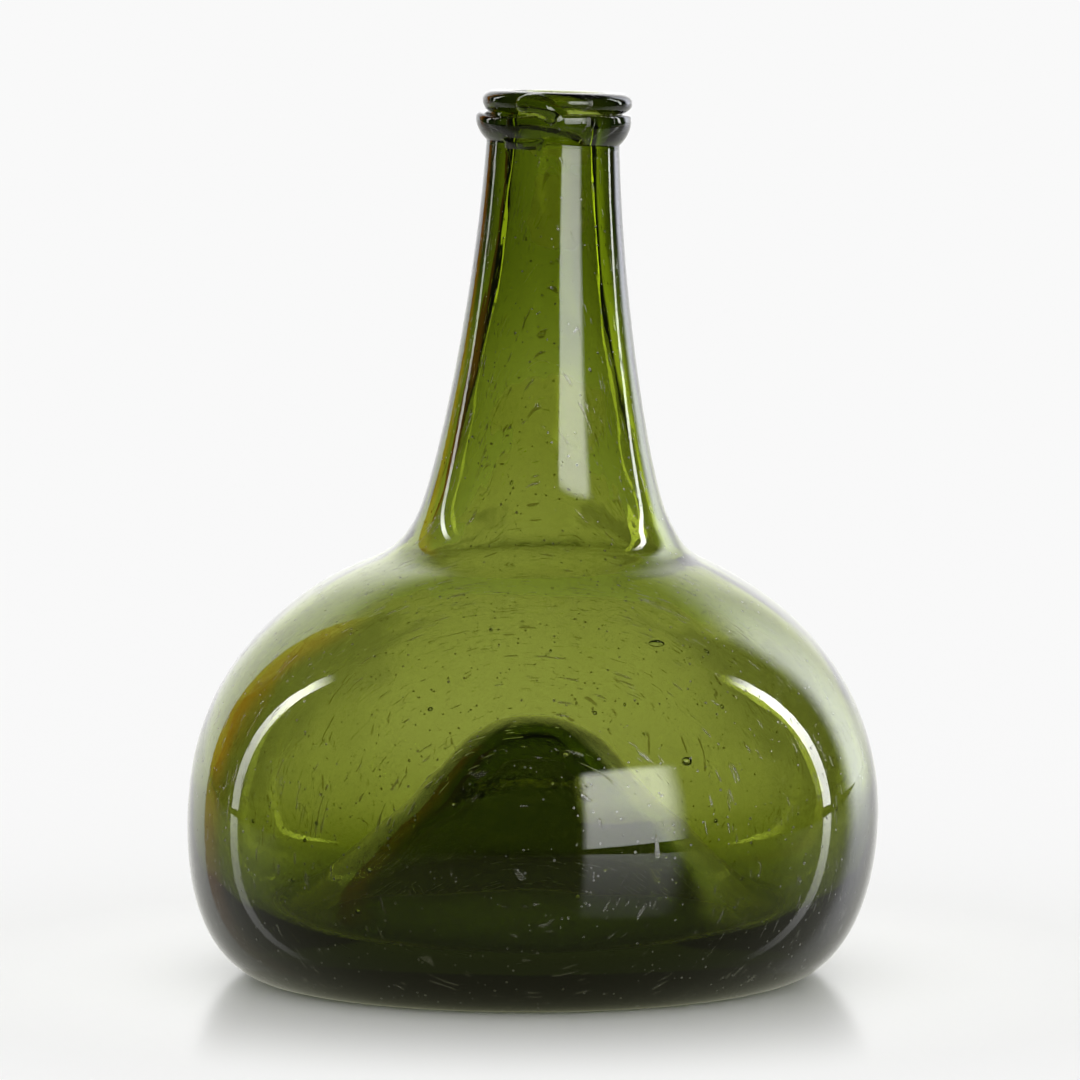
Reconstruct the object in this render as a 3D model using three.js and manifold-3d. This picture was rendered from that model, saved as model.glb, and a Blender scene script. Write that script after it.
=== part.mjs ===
// Free-blown green glass bottle with a squat round belly, a deep kick-up in its base, a leaning neck,
// a string rim of wound glass thread and a fire-polished lip. Millimetres, +Z up.
// The origin is the centre of the bearing ring, on the surface that the bottle stands on.
// The front, where the thread laps over itself, faces -Y.

import * as THREE from 'three';
import { mergeVertices } from 'three/addons/utils/BufferGeometryUtils.js';
import Module from 'manifold-3d';

const wasm = await Module();
wasm.setup();

// Bearing ring and heel
const FOOT_RADIUS = 58;
const FOOT_WIDTH = 4;
const FOOT_EDGE_ROUND = 1.5;
const HEEL_FLARE = 5.7;
const HEEL_FULLNESS = 25.4;

// Belly and shoulder
const BELLY_RADIUS = 75.1;
const BELLY_HEIGHT = 34;
const BELLY_FULLNESS = 35.5;
const SHOULDER_RADIUS = 37;
const SHOULDER_HEIGHT = 89.7;
const SHOULDER_SLOPE = 2.39;
const SHOULDER_EASE = 4.7;

// Neck
const NECK_ROOT_RADIUS = 27.9;
const NECK_ROOT_RISE = 8.3;
const NECK_ROOT_SLOPE = 0.69;
const ROOT_EASE_BELOW = 2.85;
const ROOT_EASE_ABOVE = 4.2;
const NECK_TOP_RADIUS = 14.4;
const NECK_TOP_HEIGHT = 180.2;
const NECK_TOP_SLOPE = 0.05;
const TAPER_EASE_BELOW = 5;
const TAPER_EASE_ABOVE = 38.3;
const BORE_RADIUS = 8.1;

// Seat of the string rim, and the lip above it
const SEAT_DEPTH = 1;
const SEAT_RAMP = 1.3;
const RIM_BAND = 6.6;
const LIP_RADIUS = 16.2;
const LIP_BAND = 4.3;
const LIP_UNDERCUT = 1.3;
const LIP_EDGE_RISE = 1.3;
const LIP_MOUTH_RADIUS = 10;
const LIP_MOUTH_DEPTH = 5;

// Wall thickness of the glass at named places
const HEEL_WALL = 6;
const BELLY_WALL = 3.5;
const SHOULDER_WALL = 3.1;
const ROOT_WALL = 3.8;
const NECK_WALL = 4.6;

// Heights between which the wall thins above the heel, and thickens again towards the mouth
const HEEL_WALL_HEIGHT = 6;
const BELLY_WALL_HEIGHT = 44;
const NECK_WALL_HEIGHT = 125;
const MOUTH_WALL_HEIGHT = 160;

// Kick-up: height and nose of its underside, the wall at the nose, and the nose and foot of the
// surface above it
const KICK_HEIGHT = 49.8;
const KICK_NOSE_RADIUS = 15.5;
const KICK_WALL = 6.1;
const KICK_OVER_RADIUS = 24;
const KICK_SPREAD_RADIUS = 60.5;

// Channel round the kick-up, where the glass is thickest
const CHANNEL_FLOOR = 10;
const CHANNEL_TOP = 19;
const CHANNEL_EASE = 4.5;

// String rim: one turn of thread
const RIM_PROJECTION = 2.4;
const RIM_NOSE_HEIGHT = 4.7;
const RIM_FOOT_THICKNESS = 0.4;
const RIM_TOP_INSET = 0.9;
const RIM_START_DEG = -45;
const RIM_START_SPAN_DEG = 50;
const RIM_START_DROP = 0.9;
const RIM_SAG = 0.5;

// Shape of the thread's long slope, as shares of its reach and rise from the foot to the nose
const SLOPE_REACH = 0.55;
const SLOPE_RISE = 0.25;
const SLOPE_FULLNESS = 0.6;

// String rim: the lapped end and the fold under it
const LAP_START_DEG = 17.5;
const LAP_TIP_DEG = -32.5;
const LAP_START_BURIED = 1.95;
const LAP_RISE = 4;
const LAP_HALF_HEIGHT = 2.3;
const LAP_HALF_DEPTH = 1.5;
const FOLD_FRONT_DEG = -27;
const FOLD_SPAN_DEG = 44;
const FOLD_DROP = 1.2;
const FOLD_HALF_HEIGHT = 1.3;
const FOLD_HALF_DEPTH = 0.9;

// Shares of the lapped end's length over which it comes out of the turn and rises onto the lip
const LAP_OUT_FROM = 0.1;
const LAP_OUT_TO = 0.6;
const LAP_UP_FROM = 0.05;
const LAP_UP_TO = 0.7;

// Pontil scar inside the kick-up
const SCAR_RADIUS = 17;
const SCAR_WIDTH = 4;
const SCAR_DEPTH = 1.8;
const SCAR_BREAK_DEG = 62;
const SCAR_CHIPS = 11;
const SCAR_CHIP_WAVES = 2.5;
const SCAR_CHIP_DEPTH = 0.25;

// How blunt the ends of a tongue of glass are: a higher power keeps it full for longer, and the
// least is the square of the fullness that is left at its tips
const TIP_POWER = 4;
const TIP_LEAST = 0.02;
const SCAR_TIP_POWER = 8;
const SCAR_TIP_LEAST = 0.05;

// How the soft bottle settled out of true
const LEAN_AZIMUTH_DEG = -28;
const LEAN_OFFSET = 2.05;
const LEAN_ANGLE_DEG = 1.9;
const RIM_TILT_DEG = 1.9;
const LIP_SHIFT = 0.8;
const BELLY_SHIFT = 1.05;
const BELLY_SHIFT_HEIGHT = 45;

// Gap between pieces, and how many straight steps each round form is cut into
const CLEARANCE = 0.3;
const TURN_STEPS = 56;
const NOSE_STEPS = 4;
const CONE_STEPS = 3;
const FOOT_STEPS = 2;
const HEEL_STEPS = 7;
const BELLY_STEPS = 10;
const BELLY_INSIDE_STEPS = 8;
const ROOT_STEPS = 3;
const ROOT_INSIDE_STEPS = 2;
const TAPER_STEPS = 7;
const TAPER_INSIDE_STEPS = 6;
const SEAT_STEPS = 2;
const SEAT_SKIN_STEPS = 16;
const LIP_STEPS = 5;
const MOUTH_STEPS = 4;
const CHANNEL_STEPS = 3;
const SLOPE_STEPS = 5;
const TONGUE_STEPS = 12;
const TONGUE_SIDES = 12;
const SCAR_STEPS = 36;
const SCAR_SIDES = 8;

const point = (r, z) => new THREE.Vector2(r, z);
const mix = THREE.MathUtils.lerp;
const ease = (value, low, high) => THREE.MathUtils.smoothstep(value, low, high);
const radians = THREE.MathUtils.degToRad;

// Heights and places that follow from the sizes above
const ROOT_HEIGHT = SHOULDER_HEIGHT + NECK_ROOT_RISE;
const RIM_BASE_HEIGHT = NECK_TOP_HEIGHT;
const LIP_BASE_HEIGHT = RIM_BASE_HEIGHT + RIM_BAND;
const TOP_HEIGHT = LIP_BASE_HEIGHT + LIP_BAND;
const SEAT_RADIUS = NECK_TOP_RADIUS - SEAT_DEPTH;
const RIM_RADIUS = NECK_TOP_RADIUS + RIM_PROJECTION;
const FOOT_INNER_RADIUS = FOOT_RADIUS - FOOT_WIDTH;

// Outer surface, from the bearing ring up to the start of the string rim's seat
const heel = new THREE.CubicBezierCurve(
  point(FOOT_RADIUS, 0),
  point(FOOT_RADIUS + HEEL_FLARE, 0),
  point(BELLY_RADIUS, BELLY_HEIGHT - HEEL_FULLNESS),
  point(BELLY_RADIUS, BELLY_HEIGHT)
);
const belly = new THREE.CubicBezierCurve(
  point(BELLY_RADIUS, BELLY_HEIGHT),
  point(BELLY_RADIUS, BELLY_HEIGHT + BELLY_FULLNESS),
  point(SHOULDER_RADIUS + SHOULDER_EASE * SHOULDER_SLOPE, SHOULDER_HEIGHT - SHOULDER_EASE),
  point(SHOULDER_RADIUS, SHOULDER_HEIGHT)
);
const root = new THREE.CubicBezierCurve(
  point(SHOULDER_RADIUS, SHOULDER_HEIGHT),
  point(SHOULDER_RADIUS - ROOT_EASE_BELOW * SHOULDER_SLOPE, SHOULDER_HEIGHT + ROOT_EASE_BELOW),
  point(NECK_ROOT_RADIUS + ROOT_EASE_ABOVE * NECK_ROOT_SLOPE, ROOT_HEIGHT - ROOT_EASE_ABOVE),
  point(NECK_ROOT_RADIUS, ROOT_HEIGHT)
);
const taper = new THREE.CubicBezierCurve(
  point(NECK_ROOT_RADIUS, ROOT_HEIGHT),
  point(NECK_ROOT_RADIUS - TAPER_EASE_BELOW * NECK_ROOT_SLOPE, ROOT_HEIGHT + TAPER_EASE_BELOW),
  point(NECK_TOP_RADIUS + TAPER_EASE_ABOVE * NECK_TOP_SLOPE, NECK_TOP_HEIGHT - TAPER_EASE_ABOVE),
  point(NECK_TOP_RADIUS, NECK_TOP_HEIGHT)
);

// The seat is a shallow waist in the neck, and the lip flares out over it to a rounded edge
const seatAndLip = new THREE.Path();
seatAndLip.moveTo(NECK_TOP_RADIUS, RIM_BASE_HEIGHT);
seatAndLip.quadraticCurveTo(
  SEAT_RADIUS,
  RIM_BASE_HEIGHT + SEAT_RAMP / 2,
  SEAT_RADIUS,
  RIM_BASE_HEIGHT + SEAT_RAMP
);
seatAndLip.lineTo(SEAT_RADIUS, LIP_BASE_HEIGHT - SEAT_RAMP);
seatAndLip.quadraticCurveTo(SEAT_RADIUS, LIP_BASE_HEIGHT, LIP_RADIUS - LIP_UNDERCUT, LIP_BASE_HEIGHT);
const lipEdge = new THREE.CubicBezierCurve(
  point(LIP_RADIUS - LIP_UNDERCUT, LIP_BASE_HEIGHT),
  point(LIP_RADIUS + LIP_UNDERCUT / 2, LIP_BASE_HEIGHT + LIP_EDGE_RISE),
  point(LIP_RADIUS + LIP_UNDERCUT / 2, TOP_HEIGHT),
  point((LIP_RADIUS + LIP_MOUTH_RADIUS) / 2, TOP_HEIGHT)
);

// The mouth rolls into the bore, which stays straight past the seat
const mouth = new THREE.CubicBezierCurve(
  point((LIP_RADIUS + LIP_MOUTH_RADIUS) / 2, TOP_HEIGHT),
  point(LIP_MOUTH_RADIUS, TOP_HEIGHT),
  point(BORE_RADIUS, TOP_HEIGHT - LIP_MOUTH_DEPTH / 3),
  point(BORE_RADIUS, TOP_HEIGHT - LIP_MOUTH_DEPTH)
);

// Wall thickness at a height on the outer surface, thick at the heel and towards the mouth
function wallAt(z) {
  const lower = mix(HEEL_WALL, BELLY_WALL, ease(z, HEEL_WALL_HEIGHT, BELLY_WALL_HEIGHT));
  const upper = mix(lower, SHOULDER_WALL, ease(z, BELLY_WALL_HEIGHT, SHOULDER_HEIGHT));
  const neckRoot = mix(upper, ROOT_WALL, ease(z, SHOULDER_HEIGHT, ROOT_HEIGHT));
  const neck = mix(neckRoot, NECK_WALL, ease(z, ROOT_HEIGHT, NECK_WALL_HEIGHT));
  return mix(neck, NECK_TOP_RADIUS - BORE_RADIUS, ease(z, NECK_WALL_HEIGHT, MOUTH_WALL_HEIGHT));
}

// Points of a curve moved sideways: a positive distance moves them out of the glass
function offsetPoints(curve, steps, distanceAt) {
  const points = [];
  for (let i = 0; i <= steps; i += 1) {
    const place = curve.getPoint(i / steps);
    const along = curve.getTangent(i / steps);
    const distance = distanceAt(place.y);
    points.push(point(place.x + along.y * distance, place.y - along.x * distance));
  }
  return points;
}

// A straight cone that stands on a circle at ground level and touches a round nose. Its angle
// follows from the circle, the height and the nose.
function cone(footRadius, height, noseRadius) {
  const centre = height - noseRadius;
  const angle = Math.atan2(centre, footRadius)
    + Math.asin(noseRadius / Math.hypot(centre, footRadius));
  return { centre, angle, noseRadius };
}

const coneStart = FOOT_INNER_RADIUS - FOOT_EDGE_ROUND;
const kickTop = KICK_HEIGHT + KICK_WALL;
const kickUnder = cone(coneStart, KICK_HEIGHT, KICK_NOSE_RADIUS);
const kickOver = cone(KICK_SPREAD_RADIUS, kickTop, KICK_OVER_RADIUS);

// Radius of a cone at a height, moved out of its surface by a distance
function coneRadius(form, z, away) {
  const reach = form.noseRadius + away - (z - form.centre) * Math.cos(form.angle);
  return reach / Math.sin(form.angle);
}

// The nose's arc from the axis to the cone, moved out of its surface by a distance
function nosePoints(form, away, steps) {
  const points = [];
  for (let i = 0; i <= steps; i += 1) {
    const angle = form.angle * i / steps;
    const radius = form.noseRadius + away;
    points.push(point(radius * Math.sin(angle), form.centre + radius * Math.cos(angle)));
  }
  return points;
}

// Points between two places on a straight line, both ends left out
function between(start, end, steps) {
  const points = [];
  for (let i = 1; i < steps; i += 1) {
    points.push(start.clone().lerp(end, i / steps));
  }
  return points;
}

// Profile of the whole vessel, from the underside of the kick-up out and over the lip, then
// down the inside to the top of the kick-up
function bodyProfile() {
  const noseUnder = nosePoints(kickUnder, 0, NOSE_STEPS);
  const coneFoot = point(coneRadius(kickUnder, FOOT_EDGE_ROUND, 0), FOOT_EDGE_ROUND);
  const footRound = new THREE.QuadraticBezierCurve(
    coneFoot,
    point(coneStart, 0),
    point(FOOT_INNER_RADIUS, 0)
  );
  const underside = [
    ...noseUnder,
    ...between(noseUnder[noseUnder.length - 1], coneFoot, CONE_STEPS),
    ...footRound.getPoints(FOOT_STEPS)
  ];
  const outside = [
    ...heel.getPoints(HEEL_STEPS),
    ...belly.getPoints(BELLY_STEPS).slice(1),
    ...root.getPoints(ROOT_STEPS).slice(1),
    ...taper.getPoints(TAPER_STEPS).slice(1),
    ...seatAndLip.getPoints(SEAT_STEPS).slice(1),
    ...lipEdge.getPoints(LIP_STEPS).slice(1)
  ];

  const inward = (z) => -wallAt(z);
  const bore = mouth.getPoints(MOUTH_STEPS).slice(1);
  const neckInside = offsetPoints(taper, TAPER_INSIDE_STEPS, inward).reverse();
  const rootInside = offsetPoints(root, ROOT_INSIDE_STEPS, inward).reverse().slice(1);
  const bellyInside = offsetPoints(belly, BELLY_INSIDE_STEPS, inward).reverse().slice(1);
  const heelWall = offsetPoints(heel, HEEL_STEPS, inward).reverse().slice(1);
  const heelInside = heelWall.filter((place) => place.y > CHANNEL_TOP);
  const wallInside = [...neckInside, ...rootInside, ...bellyInside, ...heelInside];

  // The channel round the kick-up is rounded between the belly's wall and the cone
  const wallEnd = wallInside[wallInside.length - 1];
  const wallBefore = wallInside[wallInside.length - 2];
  const down = wallEnd.clone().sub(wallBefore).normalize();
  const channelFloor = point(FOOT_RADIUS, CHANNEL_FLOOR);
  const coneEnd = point(coneRadius(kickOver, CHANNEL_TOP, 0), CHANNEL_TOP);
  const channelOut = new THREE.CubicBezierCurve(
    wallEnd,
    wallEnd.clone().addScaledVector(down, CHANNEL_EASE),
    point(channelFloor.x + CHANNEL_EASE / 2, channelFloor.y),
    channelFloor
  );
  const channelIn = new THREE.CubicBezierCurve(
    channelFloor,
    point(channelFloor.x - CHANNEL_EASE / 2, channelFloor.y),
    point(
      coneEnd.x + CHANNEL_EASE * Math.cos(kickOver.angle),
      coneEnd.y - CHANNEL_EASE * Math.sin(kickOver.angle)
    ),
    coneEnd
  );
  const noseOver = nosePoints(kickOver, 0, NOSE_STEPS).reverse();
  const inside = [
    ...bore,
    ...wallInside,
    ...channelOut.getPoints(CHANNEL_STEPS).slice(1),
    ...channelIn.getPoints(CHANNEL_STEPS).slice(1),
    ...between(coneEnd, noseOver[0], CONE_STEPS),
    ...noseOver
  ];
  return [...underside, ...outside, ...inside];
}

// A solid of revolution about Z from a profile of radius and height
function revolve(profile) {
  const geometry = new THREE.LatheGeometry(profile, TURN_STEPS);
  geometry.rotateX(Math.PI / 2);
  return geometry;
}

// A closed solid for joining and cutting, with shared corners merged and empty triangles left out
function solidOf(geometry) {
  const bare = geometry.clone();
  bare.deleteAttribute('normal');
  bare.deleteAttribute('uv');
  const merged = mergeVertices(bare, 1e-4);
  const index = merged.index.array;
  const triangles = [];
  for (let i = 0; i < index.length; i += 3) {
    const [a, b, c] = [index[i], index[i + 1], index[i + 2]];
    if (a !== b && b !== c && c !== a) {
      triangles.push(a, b, c);
    }
  }
  const mesh = new wasm.Mesh({
    numProp: 3,
    vertProperties: new Float32Array(merged.attributes.position.array),
    triVerts: new Uint32Array(triangles)
  });
  const solid = new wasm.Manifold(mesh);
  return solid.volume() < 0 ? flipped(mesh) : solid;
}

// The same solid with its faces turned to point out
function flipped(mesh) {
  const turned = mesh.triVerts.slice();
  for (let i = 0; i < turned.length; i += 3) {
    [turned[i], turned[i + 1]] = [turned[i + 1], turned[i]];
  }
  return new wasm.Manifold(new wasm.Mesh({
    numProp: 3,
    vertProperties: mesh.vertProperties,
    triVerts: turned
  }));
}

// Geometry of a finished solid
function geometryOf(solid) {
  const mesh = solid.getMesh();
  const geometry = new THREE.BufferGeometry();
  geometry.setAttribute('position', new THREE.BufferAttribute(mesh.vertProperties, 3));
  geometry.setIndex(new THREE.BufferAttribute(mesh.triVerts, 1));
  return geometry;
}

// A closed tongue of glass along a path: oval sections in the plane of the path's direction, drawn
// to a round point at each end. sizeAt gives the half height and half depth from 0 to 1 along it.
function tongue(pathAt, sizeAt, steps, sides) {
  const positions = [];
  const indices = [];
  for (let i = 0; i <= steps; i += 1) {
    const t = i / steps;
    const centre = pathAt(t);
    const out = new THREE.Vector3(centre.x, centre.y, 0).normalize();
    const { halfHeight, halfDepth } = sizeAt(t);
    for (let k = 0; k < sides; k += 1) {
      const turn = 2 * Math.PI * k / sides;
      const rise = halfHeight * Math.sin(turn);
      const reach = halfDepth * Math.cos(turn);
      positions.push(centre.x + out.x * reach, centre.y + out.y * reach, centre.z + rise);
    }
  }
  for (let i = 0; i < steps; i += 1) {
    for (let k = 0; k < sides; k += 1) {
      const next = (k + 1) % sides;
      const a = i * sides + k;
      const b = i * sides + next;
      indices.push(a, b, a + sides, b, b + sides, a + sides);
    }
  }
  const first = positions.length / 3;
  const start = pathAt(0);
  const end = pathAt(1);
  positions.push(start.x, start.y, start.z, end.x, end.y, end.z);
  for (let k = 0; k < sides; k += 1) {
    const next = (k + 1) % sides;
    indices.push(first, next, k);
    indices.push(first + 1, steps * sides + k, steps * sides + next);
  }
  const geometry = new THREE.BufferGeometry();
  geometry.setAttribute('position', new THREE.Float32BufferAttribute(positions, 3));
  geometry.setIndex(indices);
  return geometry;
}

// Fullness along a tongue from 0 to 1, which is 1 in the middle and falls to its two blunt tips
function fullness(t, power, least) {
  return Math.sqrt(Math.max(least, 1 - Math.pow(2 * t - 1, power)));
}

// A place round the axis. Front degrees count from the front, -Y, towards +X.
function around(frontDeg, radius, z) {
  const azimuth = radians(frontDeg - 90);
  return new THREE.Vector3(radius * Math.cos(azimuth), radius * Math.sin(azimuth), z);
}

// Front degrees of a place, from -180 to 180
function frontDegreesOf(x, y) {
  return THREE.MathUtils.radToDeg(Math.atan2(x, -y));
}

// A hump that is 1 at its centre and 0 from its half span outwards, round the axis
function hump(frontDeg, centre, halfSpan) {
  const apart = Math.abs(THREE.MathUtils.euclideanModulo(frontDeg - centre + 180, 360) - 180);
  return 1 - ease(apart, 0, halfSpan);
}

// The one turn of thread: a rounded shoulder on top, a blunt nose and a long slope down to the neck.
// Its top drops where the start of the thread is tucked under the lap, and it sags to one side.
function threadTurn() {
  const base = RIM_BASE_HEIGHT + CLEARANCE;
  const top = LIP_BASE_HEIGHT - CLEARANCE;
  const nose = base + RIM_NOSE_HEIGHT;
  const core = SEAT_RADIUS - SEAT_DEPTH;
  const foot = NECK_TOP_RADIUS + CLEARANCE + RIM_FOOT_THICKNESS;
  const slope = new THREE.CubicBezierCurve(
    point(foot, base),
    point(mix(foot, RIM_RADIUS, SLOPE_REACH), mix(base, nose, SLOPE_RISE)),
    point(RIM_RADIUS, mix(base, nose, SLOPE_FULLNESS)),
    point(RIM_RADIUS, nose)
  );
  const shoulder = new THREE.QuadraticBezierCurve(
    point(RIM_RADIUS, nose),
    point(RIM_RADIUS, top),
    point(RIM_RADIUS - RIM_TOP_INSET, top)
  );
  const section = [
    point(core, base),
    ...slope.getPoints(SLOPE_STEPS),
    ...shoulder.getPoints(ROOT_STEPS).slice(1),
    point(core, top),
    point(core, base)
  ];
  const geometry = revolve(section);
  const position = geometry.attributes.position;
  for (let i = 0; i < position.count; i += 1) {
    const [x, y, z] = [position.getX(i), position.getY(i), position.getZ(i)];
    const front = frontDegreesOf(x, y);
    const towardsTop = ease(z, base, top);
    const drop = RIM_START_DROP * hump(front, RIM_START_DEG, RIM_START_SPAN_DEG);
    const sag = RIM_SAG * (Math.sin(radians(front)) - 1) / 2 + RIM_SAG;
    position.setZ(i, z - drop * towardsTop - sag * (1 - towardsTop));
  }
  return solidOf(geometry);
}

// The end of the thread rises out of the turn, laps over its start and ends on the face of the lip
function lappedEnd() {
  const pathAt = (t) => around(
    mix(LAP_START_DEG, LAP_TIP_DEG, t),
    mix(RIM_RADIUS - LAP_START_BURIED, LIP_RADIUS + CLEARANCE, ease(t, LAP_OUT_FROM, LAP_OUT_TO)),
    LIP_BASE_HEIGHT - LAP_HALF_HEIGHT + LAP_RISE * ease(t, LAP_UP_FROM, LAP_UP_TO)
  );
  const sizeAt = (t) => ({
    halfHeight: LAP_HALF_HEIGHT * fullness(t, TIP_POWER, TIP_LEAST),
    halfDepth: LAP_HALF_DEPTH * fullness(t, TIP_POWER, TIP_LEAST)
  });
  return solidOf(tongue(pathAt, sizeAt, TONGUE_STEPS, TONGUE_SIDES));
}

// The fold hangs below the turn, on the face of the neck
function saggedFold() {
  const pathAt = (t) => around(
    FOLD_FRONT_DEG + FOLD_SPAN_DEG * (t - 1 / 2),
    NECK_TOP_RADIUS + CLEARANCE,
    RIM_BASE_HEIGHT + FOLD_HALF_HEIGHT - FOLD_DROP * (1 - Math.pow(2 * t - 1, 2))
  );
  const sizeAt = (t) => ({
    halfHeight: FOLD_HALF_HEIGHT * fullness(t, TIP_POWER, TIP_LEAST),
    halfDepth: FOLD_HALF_DEPTH * fullness(t, TIP_POWER, TIP_LEAST)
  });
  return solidOf(tongue(pathAt, sizeAt, TONGUE_STEPS, TONGUE_SIDES));
}

// The neck and the lip with the clearance added, which the thread is cut by to seat on them
function neckWithClearance() {
  const grow = () => CLEARANCE;
  const skin = [
    ...offsetPoints(taper, TAPER_STEPS, grow),
    ...offsetPoints(seatAndLip, SEAT_SKIN_STEPS, grow).slice(1),
    ...offsetPoints(lipEdge, LIP_STEPS, grow).slice(1)
  ];
  const top = skin[skin.length - 1];
  const profile = [point(0, ROOT_HEIGHT), point(skin[0].x, ROOT_HEIGHT), ...skin.slice(1), point(0, top.y)];
  return solidOf(revolve(profile));
}

// The scar is a C of chipped glass under the cone, seated by the same surface as the kick-up
function scarRing() {
  const seat = nosePoints(kickUnder, -CLEARANCE, NOSE_STEPS);
  const slopeHeight = kickUnder.centre
    + (KICK_NOSE_RADIUS - SCAR_RADIUS * Math.sin(kickUnder.angle)) / Math.cos(kickUnder.angle);
  const open = SCAR_BREAK_DEG;
  const pathAt = (t) => around(open / 2 + (360 - open) * t, SCAR_RADIUS, slopeHeight);
  const sizeAt = (t) => {
    const turn = 2 * Math.PI * t;
    const chipping = Math.cos(SCAR_CHIPS * turn) * Math.cos(SCAR_CHIP_WAVES * turn);
    const chipped = 1 - SCAR_CHIP_DEPTH + SCAR_CHIP_DEPTH * chipping;
    const full = chipped * fullness(t, SCAR_TIP_POWER, SCAR_TIP_LEAST);
    return {
      halfHeight: (SCAR_DEPTH + CLEARANCE) / Math.cos(kickUnder.angle) * full,
      halfDepth: SCAR_WIDTH / 2 * full
    };
  };
  const ring = solidOf(tongue(pathAt, sizeAt, SCAR_STEPS, SCAR_SIDES));
  const foot = coneRadius(kickUnder, 0, -CLEARANCE);
  const glass = [...seat, point(foot, 0), point(foot, kickTop), point(0, kickTop)];
  return ring.subtract(solidOf(revolve(glass)));
}

// The neck leans from its root, the rim tilts with it, and the belly sagged to one side of its foot
function settle(geometry) {
  const position = geometry.attributes.position;
  const lean = radians(LEAN_AZIMUTH_DEG);
  const [towardsX, towardsY] = [Math.cos(lean), Math.sin(lean)];
  for (let i = 0; i < position.count; i += 1) {
    const [x, y, z] = [position.getX(i), position.getY(i), position.getZ(i)];
    const offset = LEAN_OFFSET * ease(z, SHOULDER_HEIGHT - SHOULDER_EASE, ROOT_HEIGHT)
      + Math.tan(radians(LEAN_ANGLE_DEG)) * Math.max(0, z - ROOT_HEIGHT)
      + LIP_SHIFT * ease(z, LIP_BASE_HEIGHT - SEAT_RAMP, LIP_BASE_HEIGHT + SEAT_RAMP);
    const tilt = Math.sin(radians(RIM_TILT_DEG)) * ease(z, ROOT_HEIGHT, NECK_TOP_HEIGHT);
    const sag = BELLY_SHIFT * ease(z, 0, BELLY_SHIFT_HEIGHT);
    position.setXYZ(
      i,
      x + offset * towardsX + sag,
      y + offset * towardsY,
      z - (x * towardsX + y * towardsY) * tilt
    );
  }
  return geometry;
}

// A finished piece: settled with the rest, closed, and in its own glass
function piece(name, solid, colour, roughness) {
  const geometry = settle(geometryOf(solid));
  geometry.computeVertexNormals();
  const material = new THREE.MeshStandardMaterial({ color: colour, roughness, metalness: 0 });
  const mesh = new THREE.Mesh(geometry, material);
  mesh.name = name;
  return mesh;
}

const bottle = new THREE.Group();
bottle.name = 'glass_bottle';
bottle.add(piece('bottle_body', solidOf(revolve(bodyProfile())), 0x5b6a24, 0.06));
const thread = threadTurn().add(lappedEnd()).add(saggedFold()).subtract(neckWithClearance());
bottle.add(piece('string_rim', thread, 0x3f4a1c, 0.08));
bottle.add(piece('pontil_scar', scarRing(), 0x2b3214, 0.35));

export default bottle;
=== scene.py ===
"""Looks of a free-blown green glass bottle: the vessel with its wound string rim, the seeds in its
glass, the chipped pontil scar and a plain studio. Sizes are in millimetres, and meshes in metres.

Real glass is fused where the thread meets the neck, and light only passes rightly through one closed
body. So the vessel takes the place of the CAD body and of the CAD rim. A place on the true section,
before anything settled, is a radius and a height.
"""
import logging
import math
import random
from dataclasses import dataclass, field
from enum import Enum
from typing import Callable

import bmesh
import bpy
from mathutils import Matrix, Vector, noise
from mathutils.geometry import interpolate_bezier


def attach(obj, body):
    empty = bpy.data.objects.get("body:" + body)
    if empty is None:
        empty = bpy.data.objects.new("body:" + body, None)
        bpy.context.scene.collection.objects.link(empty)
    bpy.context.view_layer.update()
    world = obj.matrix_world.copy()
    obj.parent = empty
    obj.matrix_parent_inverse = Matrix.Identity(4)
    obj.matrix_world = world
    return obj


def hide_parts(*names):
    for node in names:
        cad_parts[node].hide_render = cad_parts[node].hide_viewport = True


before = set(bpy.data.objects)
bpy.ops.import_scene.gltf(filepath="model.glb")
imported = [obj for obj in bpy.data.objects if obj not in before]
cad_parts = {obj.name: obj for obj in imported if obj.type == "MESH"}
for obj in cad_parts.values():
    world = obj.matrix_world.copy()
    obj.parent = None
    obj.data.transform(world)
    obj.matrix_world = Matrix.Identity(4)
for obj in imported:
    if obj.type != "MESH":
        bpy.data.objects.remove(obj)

log = logging.getLogger("glass_bottle")

# A millimetre in metres, which the meshes are in.
MM = 0.001
# In millimetres: the least length that counts as one, and how near to each other places are welded.
TINY = 1e-6
WELD = 1e-4
# How far inside a softened band of height its softening is full, in millimetres.
BAND_EASE = 3.0
# A quadratic curve is a cubic one whose handles go this share of the way to the middle place.
HANDLE_SHARE = 2.0 / 3.0
# Light Path counts bounces in whole numbers, so this parts none from one or more.
HALF_BOUNCE = 0.5
# The sockets of a Mix node that mixes colours.
MIX_SHARE = 0
MIX_FIRST_COLOUR = 6
MIX_SECOND_COLOUR = 7
MIX_COLOUR_OUT = 2
# The vessel's attribute that is 1 on its outside, which wears, and 0 elsewhere.
WORN_SKIN = "worn_skin"

# A place is a radius and a height, or an x and a y. A span is where something starts and ends.
Place = tuple[float, float]
Span = tuple[float, float]
Rgb = tuple[float, float, float]
Rgba = tuple[float, float, float, float]
Feed = bpy.types.NodeSocket | float | tuple[float, ...]


def smooth_step(value: float, low: float, high: float) -> float:
    """Eases from 0 at low to 1 at high.

    Args:
        value: The number to ease.
        low: Where the result is still 0.
        high: Where the result is 1.

    Returns:
        A number from 0 to 1.
    """
    share = min(max((value - low) / (high - low), 0.0), 1.0)
    return share * share * (3.0 - 2.0 * share)


def mix(start: float, end: float, share: float) -> float:
    """Returns the number that lies a share of the way from start to end."""
    return start + (end - start) * share


def between(start: Place, end: Place, share: float) -> Place:
    """Returns the place that lies a share of the way from start to end."""
    return (mix(start[0], end[0], share), mix(start[1], end[1], share))


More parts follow.
